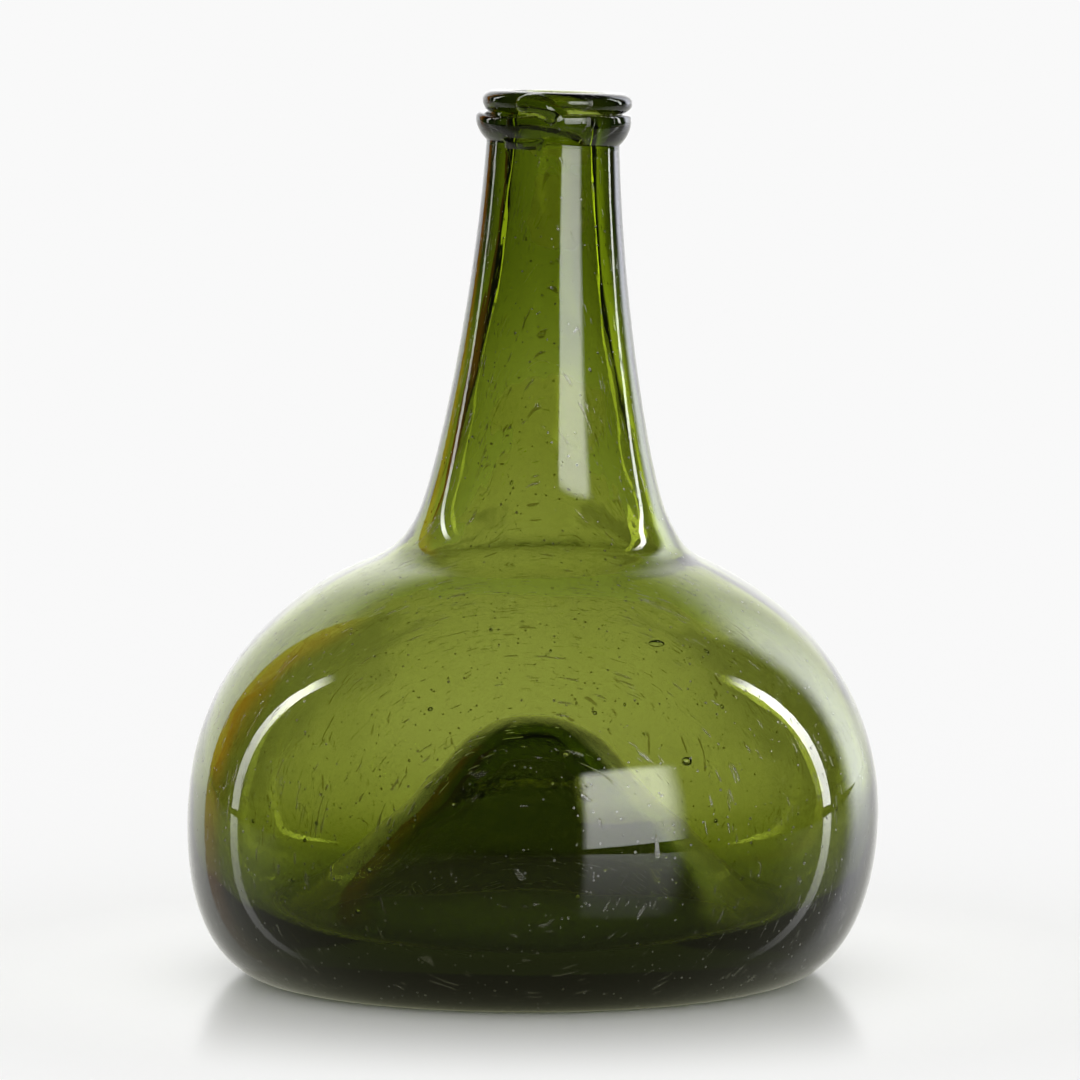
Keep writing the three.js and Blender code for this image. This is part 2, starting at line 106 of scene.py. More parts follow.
def cubic(start: Place, out: Place, back: Place, end: Place, steps: int) -> list[Place]:
    """Samples a cubic curve in the plane of radius and height.

    Args:
        start: First place.
        out: Handle of the first place.
        back: Handle of the last place.
        end: Last place.
        steps: Number of straight steps.

    Returns:
        The places along the curve, both ends included.
    """
    ends = [Vector((place[0], place[1], 0.0)) for place in (start, out, back, end)]
    return [(v.x, v.y) for v in interpolate_bezier(*ends, steps + 1)]


def quadratic(start: Place, middle: Place, end: Place, steps: int) -> list[Place]:
    """Samples a quadratic curve in the plane of radius and height.

    Args:
        start: First place.
        middle: The one handle.
        end: Last place.
        steps: Number of straight steps.

    Returns:
        The places along the curve, both ends included.
    """
    out = between(start, middle, HANDLE_SHARE)
    back = between(end, middle, HANDLE_SHARE)
    return cubic(start, out, back, end, steps)


def straight(start: Place, end: Place, steps: int) -> list[Place]:
    """Returns the places inside a straight line, both ends left out."""
    return [between(start, end, i / steps) for i in range(1, steps)]


def inset(places: list[Place], wall_at: Callable[[float], float]) -> list[Place]:
    """Moves the places of an outer curve into the glass by the wall's thickness.

    Args:
        places: The outer curve, from low to high.
        wall_at: Gives the thickness at a height.

    Returns:
        The inner curve, in the same order.
    """
    moved = []
    for i, (radius, height) in enumerate(places):
        before = places[max(i - 1, 0)]
        after = places[min(i + 1, len(places) - 1)]
        run, rise = after[0] - before[0], after[1] - before[1]
        length = math.hypot(run, rise)
        wall = wall_at(height)
        moved.append((radius - rise / length * wall, height + run / length * wall))
    return moved


def evenly(places: list[Place], step: float) -> list[Place]:
    """Lays new places along a line at even steps, both ends kept.

    Args:
        places: The line.
        step: Distance between two new places.

    Returns:
        The new places.
    """
    lengths = [0.0]
    for low, high in zip(places, places[1:]):
        lengths.append(lengths[-1] + math.hypot(high[0] - low[0], high[1] - low[1]))
    count = max(round(lengths[-1] / step), 2)
    laid = []
    at = 0
    for i in range(count + 1):
        along = lengths[-1] * i / count
        while at < len(places) - 2 and lengths[at + 1] < along:
            at += 1
        share = (along - lengths[at]) / max(lengths[at + 1] - lengths[at], TINY)
        laid.append(between(places[at], places[at + 1], share))
    return laid


def softened(places: list[Place], bands: tuple[Span, ...], passes: int) -> list[Place]:
    """Rounds off the corners of an even line where it runs through some bands of height.

    Args:
        places: The line.
        bands: Lowest and highest height of each band.
        passes: How often each place moves towards its neighbours.

    Returns:
        The softened line, both ends kept.
    """
    for _ in range(passes):
        moved = list(places)
        for i in range(1, len(places) - 1):
            height = places[i][1]
            share = max(
                smooth_step(height, low, low + BAND_EASE)
                * (1.0 - smooth_step(height, high - BAND_EASE, high))
                for low, high in bands
            )
            halfway = (
                (places[i - 1][0] + places[i + 1][0]) / 2.0,
                (places[i - 1][1] + places[i + 1][1]) / 2.0,
            )
            moved[i] = between(places[i], halfway, share / 2.0)
        places = moved
    return places


def front_degrees(x: float, y: float) -> float:
    """Returns the degrees round the axis, 0 at the front, -Y, and growing towards +X."""
    return math.degrees(math.atan2(x, -y))


@dataclass
class Settling:
    """How the soft bottle settled out of true: the same moves as the CAD solids have."""

    shoulder_height: float = 89.7
    shoulder_ease: float = 4.7
    root_height: float = 98.0
    neck_top_height: float = 180.2
    lip_base_height: float = 186.8
    lean_azimuth: float = -28.0
    lean_offset: float = 2.05
    lean_angle: float = 1.9
    rim_tilt: float = 1.9
    lip_shift: float = 0.8
    lip_ramp: float = 1.3
    belly_shift: float = 1.05
    belly_shift_height: float = 45.0

    def moved(self, place: Vector) -> Vector:
        """Moves a place of the true shape to where it settled.

        Args:
            place: A place in millimetres.

        Returns:
            The settled place in millimetres.
        """
        x, y, z = place
        lean = math.radians(self.lean_azimuth)
        towards = Vector((math.cos(lean), math.sin(lean), 0.0))
        offset = self.lean_offset * smooth_step(
            z, self.shoulder_height - self.shoulder_ease, self.root_height
        )
        offset += math.tan(math.radians(self.lean_angle)) * max(0.0, z - self.root_height)
        offset += self.lip_shift * smooth_step(
            z, self.lip_base_height - self.lip_ramp, self.lip_base_height + self.lip_ramp
        )
        tilt = math.sin(math.radians(self.rim_tilt)) * smooth_step(
            z, self.root_height, self.neck_top_height
        )
        sag = self.belly_shift * smooth_step(z, 0.0, self.belly_shift_height)
        return Vector((
            x + offset * towards.x + sag,
            y + offset * towards.y,
            z - (x * towards.x + y * towards.y) * tilt,
        ))


@dataclass
class StringRim:
    """One turn of glass thread round the neck, with its lapped end and the fold that sags under it.

    Degrees are counted round the axis from the front towards the right. The neck's ease lies inside
    its face and the top's ease above the thread. Rising and reaching are shares of the lap's length.
    """

    neck_radius: float = 14.4
    base_height: float = 180.2
    foot_stand: float = 0.05
    foot_rise: float = 0.25
    slope_foot: Place = (0.5, 0.22)
    slope_nose: float = 0.6
    nose_radius: float = 16.8
    nose_height: float = 185.2
    top_height: float = 186.45
    top_radius: float = 15.9
    groove_radius: float = 14.5
    groove_rise: float = 0.2
    slope_steps: int = 16
    shoulder_steps: int = 7
    groove_steps: int = 5
    neck_ease: Span = (1.2, 0.4)
    top_ease: Span = (0.1, 0.3)
    start_degrees: float = -45.0
    start_span: float = 50.0
    start_drop: float = 0.9
    sag: float = 0.5
    sag_below: float = 4.0
    lap_start: float = 17.5
    lap_tip: float = -32.5
    lap_buried: float = 1.95
    lap_over: float = 0.35
    lap_rise: float = 4.0
    lap_rising: Span = (0.05, 0.7)
    lap_half_height: float = 2.3
    lap_half_depth: float = 1.5
    lap_reach: float = 16.5
    lap_reaching: Span = (0.1, 0.6)
    fold_front: float = -27.0
    fold_span: float = 44.0
    fold_stand: float = 0.2
    fold_drop: float = 1.2
    fold_half_height: float = 1.3
    fold_half_depth: float = 0.9
    bluntness: int = 4
    blend: float = 0.22

    def section(self) -> list[Place]:
        """Draws the thread's section from the face of the neck up to the groove under the lip.

        Returns:
            The places along the section, from low to high.
        """
        foot = (self.neck_radius + self.foot_stand, self.base_height + self.foot_rise)
        nose = (self.nose_radius, self.nose_height)
        slope = cubic(
            foot,
            (
                mix(foot[0], nose[0], self.slope_foot[0]),
                mix(foot[1], nose[1], self.slope_foot[1]),
            ),
            (nose[0], mix(foot[1], nose[1], self.slope_nose)),
            nose,
            self.slope_steps,
        )
        shoulder = quadratic(
            nose,
            (nose[0], self.top_height),
            (self.top_radius, self.top_height),
            self.shoulder_steps,
        )
        groove = quadratic(
            shoulder[-1],
            (self.groove_radius, self.top_height),
            (self.groove_radius, self.top_height + self.groove_rise),
            self.groove_steps,
        )
        return slope + shoulder[1:] + groove[1:]

    def fullness(self, share: float) -> float:
        """Tells how full a tongue of glass is, with two blunt tips.

        Args:
            share: How far along the tongue a place is, from 0 to 1.

        Returns:
            The fullness, from 0 at the tips to 1 in the middle.
        """
        if not 0.0 < share < 1.0:
            return 0.0
        return math.sqrt(1.0 - (2.0 * share - 1.0) ** self.bluntness)

    def swell(
        self, radius: float, height: float, centre: Place, half: Place, share: float
    ) -> float:
        """Lays an oval tongue of glass over a place and blends it in.

        Args:
            radius: Radius of the place.
            height: Height of the place.
            centre: Radius and height of the tongue's middle here.
            half: Half depth and half height of the tongue where it is full.
            share: How far along the tongue the place is.

        Returns:
            The radius with the tongue on it.
        """
        full = self.fullness(share)
        if full <= 0.0:
            return radius
        across = (height - centre[1]) / (half[1] * full)
        if abs(across) >= 1.0:
            return radius
        tongue = centre[0] + half[0] * full * math.sqrt(1.0 - across * across)
        apart = max(self.blend - abs(tongue - radius), 0.0) / self.blend
        return max(tongue, radius) + apart * apart * self.blend / 4.0

    def shaped(self, radius: float, height: float, front: float) -> Place:
        """Adds the thread's drop and sag, its lapped end and its fold to an outer place.

        Args:
            radius: Radius of the place on the true section.
            height: Height of the place on the true section.
            front: Degrees round the axis from the front.

        Returns:
            The new radius and height.
        """
        towards_top = smooth_step(height, self.base_height, self.top_height)
        apart = abs((front - self.start_degrees + 180.0) % 360.0 - 180.0)
        drop = self.start_drop * (1.0 - smooth_step(apart, 0.0, self.start_span))
        sag = self.sag * (math.sin(math.radians(front)) + 1.0) / 2.0
        below = smooth_step(height, self.base_height - self.sag_below, self.base_height)
        above = 1.0 - smooth_step(
            height, self.top_height + self.top_ease[0], self.top_height + self.top_ease[1]
        )
        lowered = height - drop * towards_top * above - sag * (1.0 - towards_top) * below
        rounded = smooth_step(
            radius, self.neck_radius - self.neck_ease[0], self.neck_radius - self.neck_ease[1]
        )
        share = (self.lap_start - front) / (self.lap_start - self.lap_tip)
        lap_radius = mix(
            self.nose_radius - self.lap_buried,
            self.lap_reach,
            smooth_step(share, *self.lap_reaching),
        )
        lap_height = (
            self.top_height + self.lap_over - self.lap_half_height
            + self.lap_rise * smooth_step(share, *self.lap_rising)
        )
        lapped = self.swell(
            radius,
            lowered,
            (lap_radius, lap_height),
            (self.lap_half_depth, self.lap_half_height),
            share,
        )
        fold_share = (front - self.fold_front) / self.fold_span + 0.5
        bow = 1.0 - (2.0 * fold_share - 1.0) ** 2
        folded = self.swell(
            lapped,
            lowered,
            (
                self.neck_radius + self.fold_stand,
                self.base_height + self.fold_half_height - self.fold_drop * bow,
            ),
            (self.fold_half_depth, self.fold_half_height),
            fold_share,
        )
        return mix(radius, folded, rounded), lowered


@dataclass(frozen=True)
class Cone:
    """A straight cone that stands on a circle at ground level and touches a round nose."""

    foot_radius: float
    height: float
    nose_radius: float

    @property
    def centre(self) -> float:
        """Returns the height of the nose's centre."""
        return self.height - self.nose_radius

    @property
    def angle(self) -> float:
        """Returns the angle from the axis at which the cone leaves the nose, in radians."""
        return math.atan2(self.centre, self.foot_radius) + math.asin(
            self.nose_radius / math.hypot(self.centre, self.foot_radius)
        )

    def radius_at(self, height: float) -> float:
        """Returns the cone's radius at a height."""
        reach = self.nose_radius - (height - self.centre) * math.cos(self.angle)
        return reach / math.sin(self.angle)

    def nose(self, steps: int) -> list[Place]:
        """Draws the nose's arc from the axis to the cone.

        Args:
            steps: Number of straight steps.

        Returns:
            The places along the arc.
        """
        angles = [self.angle * i / steps for i in range(steps + 1)]
        return [
            (
                self.nose_radius * math.sin(angle),
                self.centre + self.nose_radius * math.cos(angle),
            )
            for angle in angles
        ]


@dataclass(frozen=True)
class Seed:
    """A bubble that was left in the wall of the glass."""

    front: float
    height: float
    half_along: float
    half_across: float
    half_deep: float
    slant: float = 0.0
    depth: float = 0.5


@dataclass
class Vessel:
    """The blown vessel: belly, kick-up, neck, string rim and lip in one body of glass.

    A fullness, a flare or an ease is the length of a curve's handle, and a slope is how much the
    radius shrinks per millimetre of height. A wall is a thickness, and its height is where the wall
    has it. Steps are the straight steps of a curve. Corners are rounded off in the soft bands of
    height. A wave is how far the glass swells, and its length is how far apart two swells are.
    """

    foot_radius: float = 58.0
    foot_width: float = 4.0
    foot_round: float = 1.5
    heel_flare: float = 5.7
    heel_fullness: float = 25.4
    belly_radius: float = 75.1
    belly_height: float = 34.0
    belly_fullness: float = 35.5
    shoulder_radius: float = 37.0
    shoulder_height: float = 89.7
    shoulder_slope: float = 2.39
    shoulder_ease: float = 4.7
    root_radius: float = 27.9
    root_height: float = 98.0
    root_slope: float = 0.69
    root_ease_below: float = 2.85
    root_ease_above: float = 4.2
    neck_top_radius: float = 14.4
    neck_top_height: float = 180.2
    neck_top_slope: float = 0.05
    taper_ease_below: float = 5.0
    taper_ease_above: float = 38.3
    bore_radius: float = 8.1
    lip_radius: float = 16.2
    lip_base_height: float = 186.8
    lip_band: float = 4.3
    lip_undercut: float = 1.3
    lip_edge_rise: float = 1.3
    lip_mouth_radius: float = 10.0
    lip_mouth_depth: float = 5.0
    heel_wall: float = 6.0
    belly_wall: float = 3.5
    shoulder_wall: float = 3.1
    root_wall: float = 3.8
    neck_wall: float = 4.6
    heel_wall_height: float = 6.0
    belly_wall_height: float = 44.0
    neck_wall_height: float = 125.0
    mouth_wall_height: float = 160.0
    kick_height: float = 49.8
    kick_nose_radius: float = 15.5
    kick_wall: float = 6.1
    kick_over_radius: float = 24.0
    kick_spread_radius: float = 60.5
    channel_floor: float = 10.0
    channel_top: float = 19.0
    channel_ease: float = 4.5
    heel_steps: int = 22
    belly_steps: int = 44
    root_steps: int = 14
    taper_steps: int = 50
    lip_steps: int = 18
    mouth_steps: int = 10
    channel_steps: int = 7
    nose_steps: int = 14
    cone_steps: int = 12
    foot_steps: int = 6
    turn_steps: int = 208
    outer_step: float = 1.3
    inner_step: float = 1.5
    outer_passes: int = 5
    inner_passes: int = 8
    soft_root: Span = (89.0, 112.0)
    soft_channel: Span = (9.0, 42.0)
    crease_degrees: float = 34.0
    skin_depth: float = 1.5
    rim_below: float = 5.0
    rim_wall: float = 3.0
    kick_skin: float = 1.0
    wave_girth: float = 60.0
    skin_wave: float = 0.035
    skin_wave_length: float = 19.0
    skin_wave_start: Span = (4.0, 14.0)
    lining_wave: float = 0.22
    lining_wave_length: float = 26.0
    lining_wave_shift: float = 300.0
    lining_calmed: float = 0.6
    lining_calming: Span = (100.0, 170.0)
    ripple_share: float = 0.35
    ripple_scale: float = 3.1
    large_seed: float = 0.9
    rim: StringRim = field(default_factory=StringRim)
    settling: Settling = field(default_factory=Settling)

    def __post_init__(self) -> None:
        """Works out the cones under and over the kick-up's wall, and the outside."""
        self.cone_start = self.foot_radius - self.foot_width - self.foot_round
        self.kick_under = Cone(self.cone_start, self.kick_height, self.kick_nose_radius)
        self.kick_over = Cone(
            self.kick_spread_radius, self.kick_height + self.kick_wall, self.kick_over_radius
        )
        self.skin = self.outside()

    def wall_at(self, height: float) -> float:
        """Tells how thick the wall is.

        Args:
            height: A height on the outside.

        Returns:
            The thickness there.
        """
        stages = (
            (self.belly_wall, self.heel_wall_height, self.belly_wall_height),
            (self.shoulder_wall, self.belly_wall_height, self.shoulder_height),
            (self.root_wall, self.shoulder_height, self.root_height),
            (self.neck_wall, self.root_height, self.neck_wall_height),
            (
                self.neck_top_radius - self.bore_radius,
                self.neck_wall_height,
                self.mouth_wall_height,
            ),
        )
        wall = self.heel_wall
        for thickness, low, high in stages:
            wall = mix(wall, thickness, smooth_step(height, low, high))
        return wall

    def heel_curve(self) -> list[Place]:
        """Returns the outside from the bearing ring to the widest part of the belly."""
        return cubic(
            (self.foot_radius, 0.0),
            (self.foot_radius + self.heel_flare, 0.0),
            (self.belly_radius, self.belly_height - self.heel_fullness),
            (self.belly_radius, self.belly_height),
            self.heel_steps,
        )

    def belly_curve(self) -> list[Place]:
        """Returns the outside from the widest part of the belly to the shoulder."""
        return cubic(
            (self.belly_radius, self.belly_height),
            (self.belly_radius, self.belly_height + self.belly_fullness),
            (
                self.shoulder_radius + self.shoulder_ease * self.shoulder_slope,
                self.shoulder_height - self.shoulder_ease,
            ),
            (self.shoulder_radius, self.shoulder_height),
            self.belly_steps,
        )

    def root_curve(self) -> list[Place]:
        """Returns the outside from the shoulder to the root of the neck."""
        return cubic(
            (self.shoulder_radius, self.shoulder_height),
            (
                self.shoulder_radius - self.root_ease_below * self.shoulder_slope,
                self.shoulder_height + self.root_ease_below,
            ),
            (
                self.root_radius + self.root_ease_above * self.root_slope,
                self.root_height - self.root_ease_above,
            ),
            (self.root_radius, self.root_height),
            self.root_steps,
        )

    def taper_curve(self) -> list[Place]:
        """Returns the outside of the neck up to the string rim."""
        return cubic(
            (self.root_radius, self.root_height),
            (
                self.root_radius - self.taper_ease_below * self.root_slope,
                self.root_height + self.taper_ease_below,
            ),
            (
                self.neck_top_radius + self.taper_ease_above * self.neck_top_slope,
                self.neck_top_height - self.taper_ease_above,
            ),
            (self.neck_top_radius, self.neck_top_height),
            self.taper_steps,
        )

    def outside(self) -> list[Place]:
        """Returns the outside from the bearing ring up to the top of the neck."""
        curves = (
            self.heel_curve()
            + self.belly_curve()[1:]
            + self.root_curve()[1:]
            + self.taper_curve()[1:]
        )
        return softened(evenly(curves, self.outer_step), (self.soft_root,), self.outer_passes)

    def lip(self) -> list[Place]:
        """Draws the lip from its underside over its rounded edge and into the bore.

        Returns:
            The places along the lip.
        """
        top = self.lip_base_height + self.lip_band
        crest = ((self.lip_radius + self.lip_mouth_radius) / 2.0, top)
        underside = (self.lip_radius - self.lip_undercut, self.lip_base_height)
        bulge = self.lip_radius + self.lip_undercut / 2.0
        edge = cubic(
            underside,
            (bulge, self.lip_base_height + self.lip_edge_rise),
            (bulge, top),
            crest,
            self.lip_steps,
        )
        mouth = cubic(
            crest,
            (self.lip_mouth_radius, top),
            (self.bore_radius, top - self.lip_mouth_depth / 3.0),
            (self.bore_radius, top - self.lip_mouth_depth),
            self.mouth_steps,
        )
        return edge + mouth[1:]

    def lining(self) -> list[Place]:
        """Draws the inside of the wall from the bore down to the channel round the kick-up.

        Returns:
            The places along the lining, from high to low.
        """
        neck = inset(self.taper_curve(), self.wall_at)[::-2]
        root = inset(self.root_curve(), self.wall_at)[::-1]
        belly = inset(self.belly_curve(), self.wall_at)[::-1]
        heel = inset(self.heel_curve(), self.wall_at)[::-1]
        low = [place for place in heel[1:] if place[1] > self.channel_top]
        return neck + root[1:] + belly[1:] + low

    def channel(self, wall: list[Place]) -> list[Place]:
        """Returns the rounded channel between the wall and the cone of the kick-up.

        Args:
            wall: The lining of the wall, which the channel carries on from.

        Returns:
            The places of the channel and of the cone up to its nose.
        """
        end, before = wall[-1], wall[-2]
        length = math.hypot(end[0] - before[0], end[1] - before[1])
        down = ((end[0] - before[0]) / length, (end[1] - before[1]) / length)
        floor = (self.foot_radius, self.channel_floor)
        cone = (self.kick_over.radius_at(self.channel_top), self.channel_top)
        ease = self.channel_ease
        outer = cubic(
            end,
            (end[0] + ease * down[0], end[1] + ease * down[1]),
            (floor[0] + ease / 2.0, floor[1]),
            floor,
            self.channel_steps,
        )
        inner = cubic(
            floor,
            (floor[0] - ease / 2.0, floor[1]),
            (
                cone[0] + ease * math.cos(self.kick_over.angle),
                cone[1] - ease * math.sin(self.kick_over.angle),
            ),
            cone,
            self.channel_steps,
        )
        nose = self.kick_over.nose(self.nose_steps)[::-1]
        return outer[1:] + inner[1:] + straight(cone, nose[0], self.cone_steps) + nose

    def underside(self) -> list[Place]:
        """Draws the underside of the kick-up from the axis out to the bearing ring.

        Returns:
            The places along the underside.
        """
        nose = self.kick_under.nose(self.nose_steps)
        foot = (self.kick_under.radius_at(self.foot_round), self.foot_round)
        ring = (self.foot_radius - self.foot_width, 0.0)
        edge = quadratic(foot, (self.cone_start, 0.0), ring, self.foot_steps)
        return nose + straight(nose[-1], foot, self.cone_steps) + edge

    def profile(self) -> list[Place]:
        """Draws the whole section, from the axis under the kick-up to the axis above it.

        Returns:
            The places along the section.
        """
        lining = self.lining()
        inside = softened(
            evenly(lining + self.channel(lining), self.inner_step),
            (self.soft_root, self.soft_channel),
            self.inner_passes,
        )
        return self.underside() + self.skin + self.rim.section() + self.lip() + inside[1:]

    def skin_radius(self, height: float) -> float:
        """Tells how far the outside is from the axis, below the string rim.

        Args:
            height: A height on the true vessel.

        Returns:
            The radius there, and that of the neck's top for all that is higher.
        """
        for low, high in zip(self.skin, self.skin[1:]):
            if low[1] <= height <= high[1]:
                share = (height - low[1]) / max(high[1] - low[1], TINY)
                return mix(low[0], high[0], share)
        return self.neck_top_radius

    def on_skin(self, place: Vector) -> bool:
        """Tells whether a place of the true vessel lies on its outside."""
        return math.hypot(place.x, place.y) > self.skin_radius(place.z) - self.skin_depth

    def blown(self, place: Vector) -> Vector:
        """Moves a place of the true vessel to where the maker's hands left it.

        Args:
            place: A place in millimetres.

        Returns:
            The same place with the rim's shape, the soft waves and the settling.
        """
        radius = math.hypot(place.x, place.y)
        if radius < TINY:
            return self.settling.moved(place)
        out = Vector((place.x / radius, place.y / radius, 0.0))
        height = place.z
        on_skin = self.on_skin(place)
        near_rim = height > self.rim.base_height - self.rim_below
        if near_rim and radius > self.bore_radius + self.rim_wall:
            front = front_degrees(place.x, place.y)
            radius, height = self.rim.shaped(radius, height, front)
        cone = self.kick_over.radius_at(height) if height < self.kick_height else 0.0
        if on_skin:
            radius += self.skin_swell(out, height)
        elif radius > cone + self.kick_skin:
            radius += self.lining_swell(out, height)
        return self.settling.moved(Vector((out.x * radius, out.y * radius, height)))

    def skin_swell(self, out: Vector, height: float) -> float:
        """Returns the outside's soft wave, which never stands out of the true vessel.

        Args:
            out: The way out from the axis.
            height: The height of the place.

        Returns:
            The change of the radius.
        """
        amount = self.skin_wave * smooth_step(height, *self.skin_wave_start)
        spot = Vector((out.x * self.wave_girth, out.y * self.wave_girth, height))
        return amount * (noise.noise(spot / self.skin_wave_length) - 1.0)

    def lining_swell(self, out: Vector, height: float) -> float:
        """Returns the inside's soft wave, which eases in above the channel and calms in the neck.

        Args:
            out: The way out from the axis.
            height: The height of the place.

        Returns:
            The change of the radius.
        """
        amount = self.lining_wave * smooth_step(height, self.channel_floor, self.channel_top)
        amount *= 1.0 - self.lining_calmed * smooth_step(height, *self.lining_calming)
        length = self.lining_wave_length
        spot = Vector((
            out.x * self.wave_girth,
            out.y * self.wave_girth,
            height + self.lining_wave_shift,
        ))
        ripple = noise.noise(spot * self.ripple_scale / length)
        return amount * (noise.noise(spot / length) + self.ripple_share * ripple)

    def build(self, seeds: list[Seed]) -> bpy.types.Object:
        """Spins the section, shapes it, and puts the seeds into the wall.

        Args:
            seeds: The bubbles in the glass.

        Returns:
            The vessel's object.
        """
        bm = bmesh.new()
        line = [bm.verts.new((radius, 0.0, height)) for radius, height in self.profile()]
        edges = [bm.edges.new(pair) for pair in zip(line, line[1:])]
        bmesh.ops.spin(
            bm,
            geom=line + edges,
            cent=(0.0, 0.0, 0.0),
            axis=(0.0, 0.0, 1.0),
            angle=2.0 * math.pi,
            steps=self.turn_steps,
            use_merge=True,
        )
        bmesh.ops.remove_doubles(bm, verts=bm.verts, dist=WELD)
        bmesh.ops.recalc_face_normals(bm, faces=bm.faces)
        skin = bm.verts.layers.float.new(WORN_SKIN)
        for vert in bm.verts:
            vert[skin] = 1.0 if self.on_skin(vert.co) else 0.0
            vert.co = self.blown(vert.co) * MM
        for seed in seeds:
            self.add_seed(bm, seed)
        return finished_object(bm, "vessel", math.radians(self.crease_degrees))

    def dress(self, body: bpy.types.Object, glass: bpy.types.Material) -> None:
        """Gives the vessel its glass, hangs it on the root body, and hides the CAD body and rim that
        it takes the place of.

        Args:
            body: The vessel's object.
            glass: The material of clear glass.
        """
        body.data.materials.append(glass)
        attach(body, "root")
        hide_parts("bottle_body", "string_rim")

    def add_seed(self, bm: bmesh.types.BMesh, seed: Seed) -> None:
        """Puts one bubble into the wall as a closed void.

        Args:
            bm: The vessel's mesh, in metres.
            seed: The bubble.
        """
        wall = self.wall_at(seed.height)
        widening = self.skin_radius(seed.height + 0.5) - self.skin_radius(seed.height - 0.5)
        tilt = math.atan2(-widening, 1.0)
        radius = self.skin_radius(seed.height) - wall * seed.depth * math.cos(tilt)
        turn = math.radians(seed.front - 90.0)
        height = seed.height - wall * seed.depth * math.sin(tilt)
        place = Vector((radius * math.cos(turn), radius * math.sin(turn), height))
        size = Matrix.Diagonal((seed.half_deep, seed.half_across, seed.half_along, 1.0))
        matrix = (
            Matrix.Translation(self.settling.moved(place) * MM)
            @ Matrix.Rotation(turn, 4, "Z")
            @ Matrix.Rotation(-tilt, 4, "Y")
            @ Matrix.Rotation(math.radians(seed.slant), 4, "X")
            @ size
            @ Matrix.Scale(MM, 4)
        )
        fine = 3 if seed.half_across > self.large_seed else 2
        ball = bmesh.ops.create_icosphere(bm, subdivisions=fine, radius=1.0, matrix=matrix)
        faces = dict.fromkeys(face for vert in ball["verts"] for face in vert.link_faces)
        bmesh.ops.reverse_faces(bm, faces=list(faces))


def finished_object(bm: bmesh.types.BMesh, name: str, crease: float) -> bpy.types.Object:
    """Makes an object from a mesh, smooth but for its creases.

    Args:
        bm: The mesh in metres, which is freed.
        name: The piece's name.
        crease: Angle between two faces above which their edge stays sharp.

    Returns:
        The object, at the origin and unturned.
    """
    for face in bm.faces:
        face.smooth = True
    for edge in bm.edges:
        if len(edge.link_faces) == 2 and edge.calc_face_angle(0.0) > crease:
            edge.smooth = False
    mesh = bpy.data.meshes.new(name)
    bm.to_mesh(mesh)
    bm.free()
    made = bpy.data.objects.new(name, mesh)
    bpy.context.scene.collection.objects.link(made)
    return made


class Op(Enum):
    """The sums that the Math nodes of the finishes and of the studio do."""

    ABSOLUTE = "ABSOLUTE"
    ADD = "ADD"
    ARCSINE = "ARCSINE"
    ARCTAN2 = "ARCTAN2"
    DEGREES = "DEGREES"
    DIVIDE = "DIVIDE"
    GREATER = "GREATER_THAN"
    LESS = "LESS_THAN"
    MAXIMUM = "MAXIMUM"
    MINIMUM = "MINIMUM"
    MULTIPLY = "MULTIPLY"
    MULTIPLY_ADD = "MULTIPLY_ADD"
    SUBTRACT = "SUBTRACT"


class Ray(Enum):
    """The rays of light that the studio treats in their own way."""

    SEEN = "Is Camera Ray"
    MIRRORED = "Glossy Depth"
    SCATTERED = "Diffuse Depth"


class Wanted(Enum):
    """The kinds of input that the shared groups of wear have."""

    NUMBER = "NodeSocketFloat"
    VECTOR = "NodeSocketVector"


